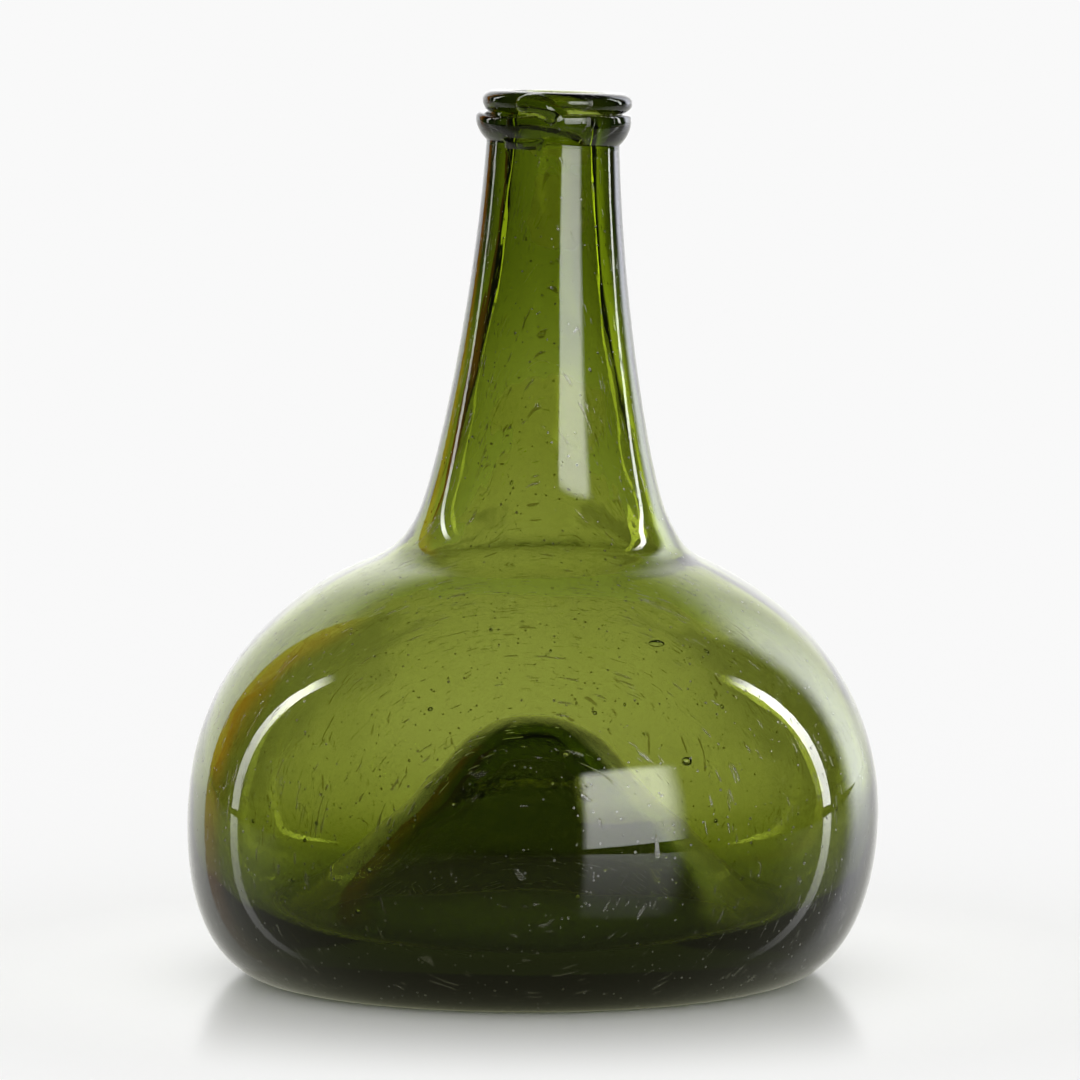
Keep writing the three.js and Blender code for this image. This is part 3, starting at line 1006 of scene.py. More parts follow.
class Nodes:
    """Short ways to add and join the nodes of one tree."""

    def __init__(self, tree: bpy.types.NodeTree) -> None:
        """Keeps the tree that the nodes go into."""
        self.tree = tree

    def add(
        self, kind: str, settings: dict[str, object] | None = None, **inputs: Feed
    ) -> bpy.types.Node:
        """Adds a node.

        Args:
            kind: The node's type name.
            settings: Properties of the node itself.
            inputs: Values or sockets for its inputs, a name's spaces written as underscores.

        Returns:
            The node.
        """
        node = self.tree.nodes.new(kind)
        for name, value in (settings or {}).items():
            setattr(node, name, value)
        for name, value in inputs.items():
            self.feed(node, name.replace("_", " "), value)
        return node

    def feed(self, node: bpy.types.Node, name: str | int, value: Feed) -> None:
        """Sets or links one input of a node.

        Args:
            node: The node.
            name: The input's name or number.
            value: The value, or the socket to link.
        """
        if isinstance(value, bpy.types.NodeSocket):
            self.tree.links.new(value, node.inputs[name])
        else:
            node.inputs[name].default_value = value

    def math(self, operation: Op, *values: Feed, clamp: bool = False) -> bpy.types.NodeSocket:
        """Adds a Math node.

        Args:
            operation: The sum that it does.
            values: Its inputs in order.
            clamp: Whether the result is kept from 0 to 1.

        Returns:
            The result's socket.
        """
        node = self.tree.nodes.new("ShaderNodeMath")
        node.operation = operation.value
        node.use_clamp = clamp
        for i, value in enumerate(values):
            self.feed(node, i, value)
        return node.outputs[0]

    def product(self, *values: Feed) -> bpy.types.NodeSocket:
        """Multiplies two or more values, one after the other.

        Args:
            values: The values in order.

        Returns:
            The result's socket.
        """
        total = values[0]
        for value in values[1:]:
            total = self.math(Op.MULTIPLY, total, value)
        return total

    def ramp(
        self, value: Feed, low: float, high: float, start: float = 0.0, end: float = 1.0
    ) -> bpy.types.NodeSocket:
        """Eases a value from one number to another.

        Args:
            value: The value.
            low: Where the result is still start.
            high: Where the result is end.
            start: First number of the result.
            end: Last number of the result.

        Returns:
            The result's socket.
        """
        node = self.add(
            "ShaderNodeMapRange",
            {"interpolation_type": "SMOOTHSTEP"},
            Value=value,
            From_Min=low,
            From_Max=high,
            To_Min=start,
            To_Max=end,
        )
        return node.outputs["Result"]

    def fade(self, value: Feed, low: float, high: float) -> bpy.types.NodeSocket:
        """Eases a value from 1 at low to 0 at high and returns the result's socket."""
        return self.ramp(value, low, high, 1.0, 0.0)

    def blend(self, share: Feed, first: Feed, second: Feed) -> bpy.types.NodeSocket:
        """Mixes two colours.

        Args:
            share: How much of the second there is.
            first: The first colour.
            second: The second colour.

        Returns:
            The mixed colour's socket.
        """
        node = self.tree.nodes.new("ShaderNodeMix")
        node.data_type = "RGBA"
        self.feed(node, MIX_SHARE, share)
        self.feed(node, MIX_FIRST_COLOUR, first)
        self.feed(node, MIX_SECOND_COLOUR, second)
        return node.outputs[MIX_COLOUR_OUT]

    def joined(
        self, share: Feed, first: bpy.types.Node, second: bpy.types.Node
    ) -> bpy.types.Node:
        """Mixes two shaders.

        Args:
            share: How much of the second there is.
            first: The first shader's node.
            second: The second shader's node.

        Returns:
            The node of the mix.
        """
        node = self.tree.nodes.new("ShaderNodeMixShader")
        for i, value in enumerate((share, first.outputs[0], second.outputs[0])):
            self.feed(node, i, value)
        return node

    def ray_is(self, ray: Ray) -> bpy.types.NodeSocket:
        """Tells 1 for the rays of one kind and 0 for all others.

        Args:
            ray: The kind of ray.

        Returns:
            The answer's socket.
        """
        told = self.add("ShaderNodeLightPath").outputs[ray.value]
        return told if ray is Ray.SEEN else self.math(Op.GREATER, told, HALF_BOUNCE)


def opaque(colour: Rgb) -> Rgba:
    """Returns a colour as a node's input wants it."""
    return (*colour, 1.0)


def grey(tone: float) -> Rgba:
    """Returns an even grey as a node's input wants it."""
    return (tone, tone, tone, 1.0)


def new_material(name: str) -> tuple[bpy.types.Material, Nodes]:
    """Makes a material with an empty tree.

    Args:
        name: The material's name.

    Returns:
        The material and the helper of its nodes.
    """
    made = bpy.data.materials.new(name)
    made.use_nodes = True
    made.node_tree.nodes.clear()
    return made, Nodes(made.node_tree)


def new_group(
    name: str, inputs: dict[str, tuple[Wanted, float | None]], outputs: list[str]
) -> tuple[bpy.types.NodeTree, Nodes, bpy.types.Node, bpy.types.Node]:
    """Makes a shader node group with named sockets.

    Args:
        name: The group's name.
        inputs: Kind and value of each input.
        outputs: Names of the value outputs.

    Returns:
        The group's tree, its nodes helper, its input node and its output node.
    """
    tree = bpy.data.node_groups.new(name, "ShaderNodeTree")
    for title, (kind, value) in inputs.items():
        socket = tree.interface.new_socket(title, in_out="INPUT", socket_type=kind.value)
        if value is not None:
            socket.default_value = value
    for title in outputs:
        tree.interface.new_socket(title, in_out="OUTPUT", socket_type=Wanted.NUMBER.value)
    nodes = Nodes(tree)
    return tree, nodes, nodes.add("NodeGroupInput"), nodes.add("NodeGroupOutput")


@dataclass(frozen=True)
class ScratchRun:
    """One direction that the fine scratches run in."""

    turn: float
    stretch: float
    spin: float
    lean_share: float = 0.6
    break_scale: float = 1.1

    @property
    def turns(self) -> tuple[float, float, float]:
        """Returns how far the lines are turned about each axis, in radians."""
        return (self.turn, self.turn * self.lean_share, self.spin)

    @property
    def shift(self) -> tuple[float, float, float]:
        """Returns how far the lines are moved, so that no two directions meet."""
        return (self.spin, -self.spin, self.turn)


@dataclass(frozen=True)
class FineScratches:
    """The effect of fine scratches: broken thin lines in three directions."""

    runs: tuple[ScratchRun, ...] = (
        ScratchRun(turn=0.35, stretch=24.0, spin=11.0),
        ScratchRun(turn=-0.9, stretch=30.0, spin=37.0),
        ScratchRun(turn=1.45, stretch=21.0, spin=83.0),
    )
    line_detail: float = 1.0
    line_roughness: float = 0.4
    line_edge: Span = (0.66, 0.70)
    break_edge: Span = (0.62, 0.68)

    def group(self) -> bpy.types.NodeTree:
        """Makes the effect's group.

        Returns:
            The group, with the outputs Mask and Height.
        """
        tree, nodes, given, out = new_group(
            "fine scratches",
            {
                "Vector": (Wanted.VECTOR, None),
                "Scale": (Wanted.NUMBER, 110.0),
                "Amount": (Wanted.NUMBER, 0.9),
            },
            ["Mask", "Height"],
        )
        total = None
        for run in self.runs:
            kept = self.one_run(nodes, given, run)
            total = kept if total is None else nodes.math(Op.MAXIMUM, total, kept)
        mask = nodes.product(total, given.outputs["Amount"])
        nodes.feed(out, "Mask", mask)
        nodes.feed(out, "Height", nodes.product(mask, -1.0))
        return tree

    def one_run(
        self, nodes: Nodes, given: bpy.types.Node, run: ScratchRun
    ) -> bpy.types.NodeSocket:
        """Draws the scratches of one direction.

        Args:
            nodes: The helper of the group's nodes.
            given: The group's input node.
            run: The direction.

        Returns:
            The socket that is 1 on a scratch.
        """
        turned = nodes.add(
            "ShaderNodeMapping",
            Vector=given.outputs["Vector"],
            Rotation=run.turns,
            Scale=(1.0, run.stretch, 1.0),
            Location=run.shift,
        )
        lines = nodes.add(
            "ShaderNodeTexNoise",
            {"noise_dimensions": "3D"},
            Vector=turned.outputs[0],
            Scale=given.outputs["Scale"],
            Detail=self.line_detail,
            Roughness=self.line_roughness,
        )
        thin = nodes.ramp(lines.outputs[0], *self.line_edge)
        breaks = nodes.add(
            "ShaderNodeTexNoise",
            Vector=given.outputs["Vector"],
            Scale=nodes.product(given.outputs["Scale"], run.break_scale + abs(run.turn)),
            Detail=0.0,
        )
        return nodes.product(thin, nodes.ramp(breaks.outputs[0], *self.break_edge))


@dataclass(frozen=True)
class DustSpecks:
    """The effect of dust: small round spots in some cells of a grain."""

    spot_edge: Span = (-0.01, 0.03)

    def group(self) -> bpy.types.NodeTree:
        """Makes the effect's group.

        Returns:
            The group, with the output Mask.
        """
        tree, nodes, given, out = new_group(
            "dust specks",
            {
                "Vector": (Wanted.VECTOR, None),
                "Scale": (Wanted.NUMBER, 300.0),
                "Size": (Wanted.NUMBER, 0.12),
                "Share": (Wanted.NUMBER, 0.2),
            },
            ["Mask"],
        )
        cells = nodes.add(
            "ShaderNodeTexVoronoi",
            Vector=given.outputs["Vector"],
            Scale=given.outputs["Scale"],
            Randomness=1.0,
        )
        channels = nodes.add("ShaderNodeSeparateColor", Color=cells.outputs["Color"])
        chosen = nodes.math(Op.LESS, channels.outputs[0], given.outputs["Share"])
        size = nodes.product(given.outputs["Size"], channels.outputs[1])
        inward = nodes.math(Op.SUBTRACT, size, cells.outputs["Distance"])
        nodes.feed(out, "Mask", nodes.product(nodes.ramp(inward, *self.spot_edge), chosen))
        return tree


@dataclass(frozen=True)
class HandlingFilm:
    """The effect of handling: soft cloudy patches with fine streaks."""

    cloud_detail: float = 6.0
    cloud_roughness: float = 0.62
    cloud_edge: Span = (0.42, 0.72)
    streak_squash: float = 0.12
    streak_scale: float = 24.0
    streak_detail: float = 2.0
    streak_edge: Span = (0.3, 0.8)
    streak_least: float = 0.4

    def group(self) -> bpy.types.NodeTree:
        """Makes the effect's group.

        Returns:
            The group, with the output Mask.
        """
        tree, nodes, given, out = new_group(
            "handling film",
            {
                "Vector": (Wanted.VECTOR, None),
                "Scale": (Wanted.NUMBER, 20.0),
                "Amount": (Wanted.NUMBER, 1.0),
            },
            ["Mask"],
        )
        clouds = nodes.add(
            "ShaderNodeTexNoise",
            Vector=given.outputs["Vector"],
            Scale=given.outputs["Scale"],
            Detail=self.cloud_detail,
            Roughness=self.cloud_roughness,
        )
        squashed = nodes.add(
            "ShaderNodeMapping",
            Vector=given.outputs["Vector"],
            Scale=(1.0, 1.0, self.streak_squash),
        )
        fine = nodes.add(
            "ShaderNodeTexNoise",
            Vector=squashed.outputs[0],
            Scale=nodes.product(given.outputs["Scale"], self.streak_scale),
            Detail=self.streak_detail,
        )
        soft = nodes.ramp(clouds.outputs[0], *self.cloud_edge)
        streaks = nodes.ramp(fine.outputs[0], *self.streak_edge, self.streak_least, 1.0)
        nodes.feed(out, "Mask", nodes.product(soft, streaks, given.outputs["Amount"]))
        return tree


@dataclass(frozen=True)
class SurfaceWear:
    """The shared groups for scratches, dust and film, built once for all the glass."""

    scratches: bpy.types.NodeTree
    specks: bpy.types.NodeTree
    film: bpy.types.NodeTree


class GlassState(Enum):
    """The two states that the bottle's one glass is in."""

    CLEAR = "green glass"
    BROKEN = "broken glass"


@dataclass(frozen=True)
class BottleGlass:
    """A finish of olive green glass, coloured through its depth, with wear on its skin."""

    state: GlassState
    kept: Rgb = (0.62, 0.666, 0.119)
    density: float = 505.0
    index: float = 1.5
    roughness: float = 0.012
    worn_roughness: float = 0.25
    worn_inside: float = 0.0
    scratches: float = 0.9
    scratch_scale: float = 110.0
    scratch_colour: Rgb = (0.30, 0.24, 0.13)
    scratch_relief: float = 0.35
    scratch_depth: float = 0.06
    dust_scale: float = 640.0
    dust_size: float = 0.22
    dust_share: float = 0.7
    dust_colour: Rgb = (0.12, 0.10, 0.05)
    dust_haze: float = 0.5
    dust_index: float = 2.1
    film: float = 0.02
    film_scale: float = 26.0
    chip_depth: float = 0.4
    chip_scale: float = 700.0

    def material(self, wear: SurfaceWear) -> bpy.types.Material:
        """Makes the finish's material.

        Args:
            wear: The shared groups of wear.

        Returns:
            The material.
        """
        made, nodes = new_material(self.state.value)
        place = nodes.add("ShaderNodeTexCoord").outputs["Object"]
        scratch = nodes.add(
            "ShaderNodeGroup",
            {"node_tree": wear.scratches},
            Vector=place,
            Scale=self.scratch_scale,
            Amount=self.scratches,
        )
        speck = nodes.add(
            "ShaderNodeGroup",
            {"node_tree": wear.specks},
            Vector=place,
            Scale=self.dust_scale,
            Size=self.dust_size,
            Share=self.dust_share,
        )
        film = nodes.add(
            "ShaderNodeGroup",
            {"node_tree": wear.film},
            Vector=place,
            Scale=self.film_scale,
            Amount=self.film,
        )
        skin = nodes.add("ShaderNodeAttribute", {"attribute_name": WORN_SKIN})
        outside = nodes.math(Op.MAXIMUM, skin.outputs["Fac"], self.worn_inside)
        dust = nodes.product(speck.outputs["Mask"], outside)
        lines = nodes.product(scratch.outputs["Mask"], outside)
        worn = nodes.math(Op.MAXIMUM, lines, dust)
        polished = nodes.math(Op.ADD, film.outputs["Mask"], self.roughness)
        rough = nodes.math(
            Op.ADD, polished, nodes.product(worn, self.worn_roughness), clamp=True
        )
        scratched = nodes.blend(lines, grey(1.0), opaque(self.scratch_colour))
        colour = nodes.blend(dust, scratched, opaque(self.dust_colour))
        shader = nodes.add(
            "ShaderNodeBsdfPrincipled",
            Base_Color=colour,
            Roughness=rough,
            Metallic=0.0,
            IOR=self.index,
            Transmission_Weight=1.0,
            Coat_Weight=worn,
            Coat_Roughness=self.dust_haze,
            Coat_IOR=self.dust_index,
            Normal=self.relief(nodes, place, scratch.outputs["Height"]),
        )
        depth = nodes.add(
            "ShaderNodeVolumeAbsorption", Color=opaque(self.kept), Density=self.density
        )
        nodes.add(
            "ShaderNodeOutputMaterial", Surface=shader.outputs[0], Volume=depth.outputs[0]
        )
        return made

    def relief(
        self, nodes: Nodes, place: bpy.types.NodeSocket, height: bpy.types.NodeSocket
    ) -> bpy.types.NodeSocket:
        """Makes the relief of the scratches, and on broken glass that of the chips.

        Args:
            nodes: The helper of the material's nodes.
            place: The socket of the place on the piece.
            height: The socket of the scratches' height.

        Returns:
            The normal's socket.
        """
        scratched = nodes.add(
            "ShaderNodeBump",
            Strength=self.scratch_relief,
            Distance=self.scratch_depth * MM,
            Height=height,
        )
        if self.state is not GlassState.BROKEN:
            return scratched.outputs[0]
        chips = nodes.add("ShaderNodeTexVoronoi", Vector=place, Scale=self.chip_scale)
        chipped = nodes.add(
            "ShaderNodeBump",
            Strength=1.0,
            Distance=self.chip_depth * MM,
            Height=chips.outputs["Distance"],
            Normal=scratched.outputs[0],
        )
        return chipped.outputs[0]


@dataclass
class PontilScar:
    """The C of chipped glass under the kick-up, where the rod was broken off."""

    node: str = "pontil_scar"

    def dress(self, glass: bpy.types.Material) -> None:
        """Gives the CAD ring its finish.

        Args:
            glass: The material of broken glass.
        """
        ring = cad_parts[self.node]
        for place in ring.material_slots:
            place.material = glass


def named_seeds() -> list[Seed]:
    """Returns the larger bubbles and marks that can be made out one by one."""
    return [
        Seed(front=27.3, height=77.0, half_along=0.95, half_across=1.85, half_deep=0.3),
        Seed(front=26.6, height=53.6, half_along=0.9, half_across=1.2, half_deep=0.5),
        Seed(front=36.3, height=64.0, half_along=0.5, half_across=0.5, half_deep=0.35),
        Seed(front=11.1, height=64.0, half_along=0.45, half_across=0.5, half_deep=0.35),
        Seed(front=-18.8, height=64.5, half_along=0.5, half_across=0.6, half_deep=0.4),
        Seed(front=38.5, height=74.9, half_along=0.7, half_across=0.45, half_deep=0.4, slant=35.0),
        Seed(front=5.5, height=55.8, half_along=0.7, half_across=0.8, half_deep=0.5),
        Seed(front=3.2, height=49.9, half_along=0.5, half_across=0.5, half_deep=0.4),
        Seed(front=-13.0, height=45.4, half_along=0.45, half_across=0.5, half_deep=0.4),
        Seed(front=-27.2, height=30.8, half_along=0.6, half_across=0.7, half_deep=0.4),
        Seed(front=-29.6, height=21.5, half_along=0.5, half_across=0.6, half_deep=0.4),
        Seed(front=-42.6, height=27.1, half_along=0.45, half_across=0.5, half_deep=0.4),
        Seed(front=-37.6, height=39.8, half_along=0.4, half_across=0.5, half_deep=0.35),
        Seed(front=-52.5, height=38.5, half_along=0.45, half_across=0.5, half_deep=0.4),
        Seed(front=11.8, height=31.5, half_along=0.45, half_across=0.5, half_deep=0.4),
        Seed(front=21.0, height=28.6, half_along=0.5, half_across=0.5, half_deep=0.4),
        Seed(front=24.0, height=28.2, half_along=0.4, half_across=0.45, half_deep=0.35),
        Seed(front=36.3, height=28.1, half_along=0.45, half_across=0.5, half_deep=0.4),
        Seed(front=49.4, height=26.9, half_along=0.45, half_across=0.5, half_deep=0.4),
        Seed(front=59.8, height=40.1, half_along=0.5, half_across=0.45, half_deep=0.4),
        Seed(front=30.9, height=40.9, half_along=0.45, half_across=0.5, half_deep=0.4),
        Seed(front=16.2, height=38.0, half_along=0.4, half_across=0.45, half_deep=0.35),
        Seed(front=22.0, height=33.7, half_along=0.45, half_across=0.5, half_deep=0.4),
    ]


@dataclass(frozen=True)
class SmallSeeds:
    """The many small bubbles that lie anywhere in the wall, more of them low down."""

    count: int = 70
    chance_start: int = 1717
    half_sizes: Span = (0.16, 0.42)
    lowest: float = 20.0
    below_rim: float = 6.0
    crowding: float = 1.5
    lengthening: Span = (1.0, 1.6)
    flatness: float = 0.8
    slants: Span = (-25.0, 25.0)
    depths: Span = (0.3, 0.7)

    def scattered(self, vessel: Vessel) -> list[Seed]:
        """Scatters the bubbles through the wall.

        Args:
            vessel: The vessel, for its heights.

        Returns:
            The bubbles, the same on each run.
        """
        chance = random.Random(self.chance_start)
        highest = vessel.neck_top_height - self.below_rim
        seeds = []
        for _ in range(self.count):
            size = chance.uniform(*self.half_sizes)
            seeds.append(Seed(
                front=chance.uniform(-180.0, 180.0),
                height=mix(self.lowest, highest, chance.random() ** self.crowding),
                half_along=size * chance.uniform(*self.lengthening),
                half_across=size,
                half_deep=size * self.flatness,
                slant=chance.uniform(*self.slants),
                depth=chance.uniform(*self.depths),
            ))
        return seeds


@dataclass
class Panel:
    """A glowing sheet of the studio that only shows in reflections, with edges that may be soft."""

    name: str
    centre: Place
    low: float
    high: float
    width: float
    facing: float
    glow: float
    foot_share: float = 1.0
    full_at: float = 0.5
    left_edge: float = 0.02
    right_edge: float = 0.02
    top_edge: float = 0.02
    bend: float = 0.0
    bend_power: float = 1.7
    rows: int = 24

    def build(self) -> bpy.types.Object:
        """Makes the sheet and gives it its glow.

        Returns:
            The sheet's object.
        """
        bm = bmesh.new()
        middle = Vector((self.centre[0], self.centre[1], (self.low + self.high) / 2.0))
        half_width = self.width / 2.0 * MM
        half_height = (self.high - self.low) / 2.0 * MM
        matrix = (
            Matrix.Translation(middle * MM)
            @ Matrix.Rotation(math.radians(self.facing), 4, "Z")
            @ Matrix.Rotation(math.radians(90.0), 4, "X")
            @ Matrix.Diagonal((half_width, half_height, 1.0, 1.0))
        )
        bm.loops.layers.uv.new("sheet")
        bmesh.ops.create_grid(
            bm, x_segments=1, y_segments=self.rows, size=1.0, matrix=matrix, calc_uvs=True
        )
        for vert in bm.verts:
            share = (vert.co.z / MM - self.low) / (self.high - self.low)
            vert.co.y -= self.bend * MM * max(share, 0.0) ** self.bend_power
        sheet = finished_object(bm, self.name, math.pi)
        self.dress(sheet)
        return sheet

    def dress(self, sheet: bpy.types.Object) -> None:
        """Gives the sheet its glow, which is clear for rays that have not been mirrored.

        Args:
            sheet: The sheet's object.
        """
        made, nodes = new_material(self.name)
        spot = nodes.add("ShaderNodeTexCoord").outputs["UV"]
        parts = nodes.add("ShaderNodeSeparateXYZ", Vector=spot)
        across, up = parts.outputs[0], parts.outputs[1]
        rise = nodes.math(Op.MINIMUM, nodes.math(Op.DIVIDE, up, self.full_at), 1.0)
        strength = nodes.math(
            Op.MULTIPLY_ADD,
            nodes.product(rise, rise),
            self.glow * (1.0 - self.foot_share),
            self.glow * self.foot_share,
        )
        strength = nodes.product(
            strength,
            nodes.ramp(across, 0.0, self.left_edge),
            nodes.fade(across, 1.0 - self.right_edge, 1.0),
            nodes.fade(up, 1.0 - self.top_edge, 1.0),
        )
        clear = nodes.add("ShaderNodeBsdfTransparent")
        glow = nodes.add("ShaderNodeEmission", Color=grey(1.0), Strength=strength)
        chosen = nodes.joined(nodes.ray_is(Ray.MIRRORED), clear, glow)
        nodes.add("ShaderNodeOutputMaterial", Surface=chosen.outputs[0])
        made.cycles.emission_sampling = "NONE"
        sheet.data.materials.append(made)


@dataclass
class Studio:
    """The plain studio: camera, pale floor, white surround and the sheets that shine on the glass.

    Lengths are in millimetres and the surround's directions in degrees: a side is counted from
    straight behind the bottle towards the right, and a rise from the horizon up. The words near,
    beside and behind are meant from the bottle, and a tone that ends in mirrored is what the glass
    mirrors there.
    """

    camera_place: tuple[float, float, float] = (2.47, -1300.0, 198.0)
    camera_aim: tuple[float, float, float] = (2.47, 0.0, 94.07)
    lens: float = 200.5
    sensor: float = 36.0
    sight: float = 100000.0
    white: float = 0.947
    white_scattered: float = 1.052
    behind_neck: Rgb = (0.91, 0.975, 0.95)
    room: Rgb = (0.03, 0.03, 0.027)
    floor_front: float = -600.0
    floor_back: float = 9000.0
    floor_side: float = 6000.0
    floor_white: float = 0.9
    floor_index: float = 1.33
    floor_roughness: float = 0.16
    gloss_start: float = 75.0
    gloss_reach: float = 150.0
    # Painted shade on the floor where it is seen through the glass: the share of the white it keeps,
    # where it starts and is full beside the bottle, and the spans behind the bottle where it eases in
    # and out.
    side_shade_share: float = 0.64
    side_start: float = 55.0
    side_full: float = 115.0
    shade_behind_near: Span = (80.0, 200.0)
    shade_behind_far: Span = (1500.0, 2200.0)
    amber: Rgb = (0.68, 0.53, 0.26)
    amber_start: float = -175.0
    amber_full: float = -290.0
    amber_near: float = 1400.0
    amber_far: float = 1750.0
    table_front: float = -440.0
    table_middle: float = -80.0
    table_half: float = 170.0
    table_slant: float = 1.15
    # Painted shade: the darker tone that the table glows with near the bottle in reflections, and the
    # dimmed share of its polish there.
    table_near_painted_dark: Rgb = (0.23, 0.24, 0.13)
    table_near_polish: float = 0.7
    table_near_end: float = -80.0
    table_beside: Rgb = (0.50, 0.50, 0.44)
    table_beside_start: float = 5.0
    table_index: float = 1.3
    table_roughness: float = 0.06
    backdrop_mirrored: float = 1.35
    backdrop_full: float = 31.0
    backdrop_top: float = 48.5
    left_edge: float = -39.5
    left_softness: float = 0.4
    right_edge: float = 49.0
    right_softness: float = 6.0
    glare_mirrored: Rgb = (3.1, 3.15, 3.5)
    glare_sides: Span = (22.0, 46.0)
    edge_mirrored: float = 1.75
    edge_sides: Span = (14.0, 26.0)
    edge_rises: Span = (2.0, 10.0)
    amber_mirrored: Rgb = (0.68, 0.26, 0.025)
    amber_width: float = 17.0
    amber_foot: Span = (-2.0, 4.0)
    amber_top: Span = (36.0, 50.0)
    glass_bounces: int = 28
    gloss_bounces: int = 12
    clear_bounces: int = 24

    def camera(self) -> None:
        """Puts the camera where the photograph was taken from."""
        data = bpy.data.cameras.new("camera")
        data.lens = self.lens
        data.sensor_width = self.sensor
        data.clip_end = self.sight * MM
        eye = bpy.data.objects.new("camera", data)
        bpy.context.scene.collection.objects.link(eye)
        place = Vector(self.camera_place) * MM
        aim = Vector(self.camera_aim) * MM
        eye.location = place
        eye.rotation_euler = (aim - place).to_track_quat("-Z", "Y").to_euler()
        bpy.context.scene.camera = eye

    def floor(self) -> None:
        """Makes the pale floor, which mirrors the bottle a little and keeps its shadow."""
        bm = bmesh.new()
        middle = (self.floor_front + self.floor_back) / 2.0
        half_deep = (self.floor_back - self.floor_front) / 2.0
        matrix = Matrix.Translation(Vector((0.0, middle, 0.0)) * MM) @ Matrix.Diagonal(
            (self.floor_side * MM, half_deep * MM, 1.0, 1.0)
        )
        bmesh.ops.create_grid(bm, x_segments=1, y_segments=1, size=1.0, matrix=matrix)
        sheet = finished_object(bm, "floor", math.pi)
        self.dress_floor(sheet)

    def dress_floor(self, sheet: bpy.types.Object) -> None:
        """Gives the floor its looks: one that is seen, and one that the glass mirrors.

        Args:
            sheet: The floor's object.
        """
        made, nodes = new_material("pale floor")
        spot = nodes.add("ShaderNodeTexCoord").outputs["Object"]
        parts = nodes.add("ShaderNodeSeparateXYZ", Vector=spot)
        x, y = parts.outputs[0], parts.outputs[1]
        seen = self.floor_seen(nodes, spot, x, y)
        mirrored = self.floor_mirrored(nodes, x, y)
        chosen = nodes.joined(nodes.ray_is(Ray.MIRRORED), seen, mirrored)
        nodes.add("ShaderNodeOutputMaterial", Surface=chosen.outputs[0])
        made.cycles.emission_sampling = "NONE"
        sheet.data.materials.append(made)

    def floor_seen(
        self,
        nodes: Nodes,
        spot: bpy.types.NodeSocket,
        x: bpy.types.NodeSocket,
        y: bpy.types.NodeSocket,
    ) -> bpy.types.Node:
        """Makes the floor that is seen: matt white, glossy round the foot, and where it is seen
        through the glass darkened with painted shade beside and behind the bottle and amber far to
        the left.

        Args:
            nodes: The helper of the material's nodes.
            spot: The socket of the place on the floor.
            x: The socket of how far to the right it is.
            y: The socket of how far behind it is.

        Returns:
            The shader's node.
        """
        # Painted shade: for rays that come through the glass, the matt floor is darkened beside and
        # behind the bottle, as if less light fell there.
        passed = nodes.math(Op.SUBTRACT, 1.0, nodes.ray_is(Ray.SEEN))
        painted_side_shade = nodes.product(
            passed,
            nodes.product(
                nodes.ramp(y, self.shade_behind_near[0] * MM, self.shade_behind_near[1] * MM),
                nodes.fade(y, self.shade_behind_far[0] * MM, self.shade_behind_far[1] * MM),
            ),
            nodes.ramp(
                nodes.math(Op.ABSOLUTE, x), self.side_start * MM, self.side_full * MM
            ),
        )
        off_sheet = nodes.product(
            passed,
            nodes.fade(x, self.amber_full * MM, self.amber_start * MM),
            nodes.fade(y, self.amber_near * MM, self.amber_far * MM),
        )
        shaded_floor_white = nodes.blend(
            painted_side_shade, grey(self.floor_white), grey(self.floor_white * self.side_shade_share)
        )
        matt = nodes.add(
            "ShaderNodeBsdfDiffuse", Color=nodes.blend(off_sheet, shaded_floor_white, opaque(self.amber))
        )
        gloss = nodes.add(
            "ShaderNodeBsdfGlossy",
            Color=grey(self.white / self.backdrop_mirrored),
            Roughness=self.floor_roughness,
        )
        away = nodes.add("ShaderNodeVectorMath", {"operation": "LENGTH"})
        nodes.feed(away, 0, spot)
        near = nodes.fade(
            away.outputs["Value"], self.gloss_start * MM, self.gloss_reach * MM
        )
        fresnel = nodes.add("ShaderNodeFresnel", IOR=self.floor_index)
        return nodes.joined(nodes.product(fresnel.outputs[0], near), matt, gloss)

    def floor_mirrored(
        self, nodes: Nodes, x: bpy.types.NodeSocket, y: bpy.types.NodeSocket
    ) -> bpy.types.Node:
        """Makes the floor that the glass mirrors: a polished table that glows with a painted tone,
        darker near the bottle as painted shade, and ends in a dark room.

        Args:
            nodes: The helper of the material's nodes.
            x: The socket of how far to the right a place is.
            y: The socket of how far behind it is.

        Returns:
            The shader's node.
        """
        # Painted light: in reflections the table glows with a set tone instead of being lit. Near the
        # bottle the tone is darker and its polish dimmed, as painted shade.
        beside = nodes.ramp(y, self.table_near_end * MM, self.table_beside_start * MM)
        shade = nodes.blend(beside, opaque(self.table_near_painted_dark), opaque(self.table_beside))
        sheen = nodes.blend(beside, grey(self.table_near_polish), grey(1.0))
        pale = nodes.add("ShaderNodeEmission", Color=shade, Strength=1.0)
        polish = nodes.add(
            "ShaderNodeBsdfGlossy", Color=sheen, Roughness=self.table_roughness
        )
        fresnel = nodes.add("ShaderNodeFresnel", IOR=self.table_index)
        table = nodes.joined(fresnel.outputs[0], pale, polish)
        room = nodes.add("ShaderNodeEmission", Color=opaque(self.room), Strength=1.0)
        aside = nodes.math(
            Op.ABSOLUTE, nodes.math(Op.SUBTRACT, x, self.table_middle * MM)
        )
        past_half = nodes.math(
            Op.MAXIMUM, nodes.math(Op.SUBTRACT, aside, self.table_half * MM), 0.0
        )
        edge = nodes.math(
            Op.MULTIPLY_ADD, past_half, self.table_slant, self.table_front * MM
        )
        return nodes.joined(nodes.math(Op.LESS, y, edge), table, room)

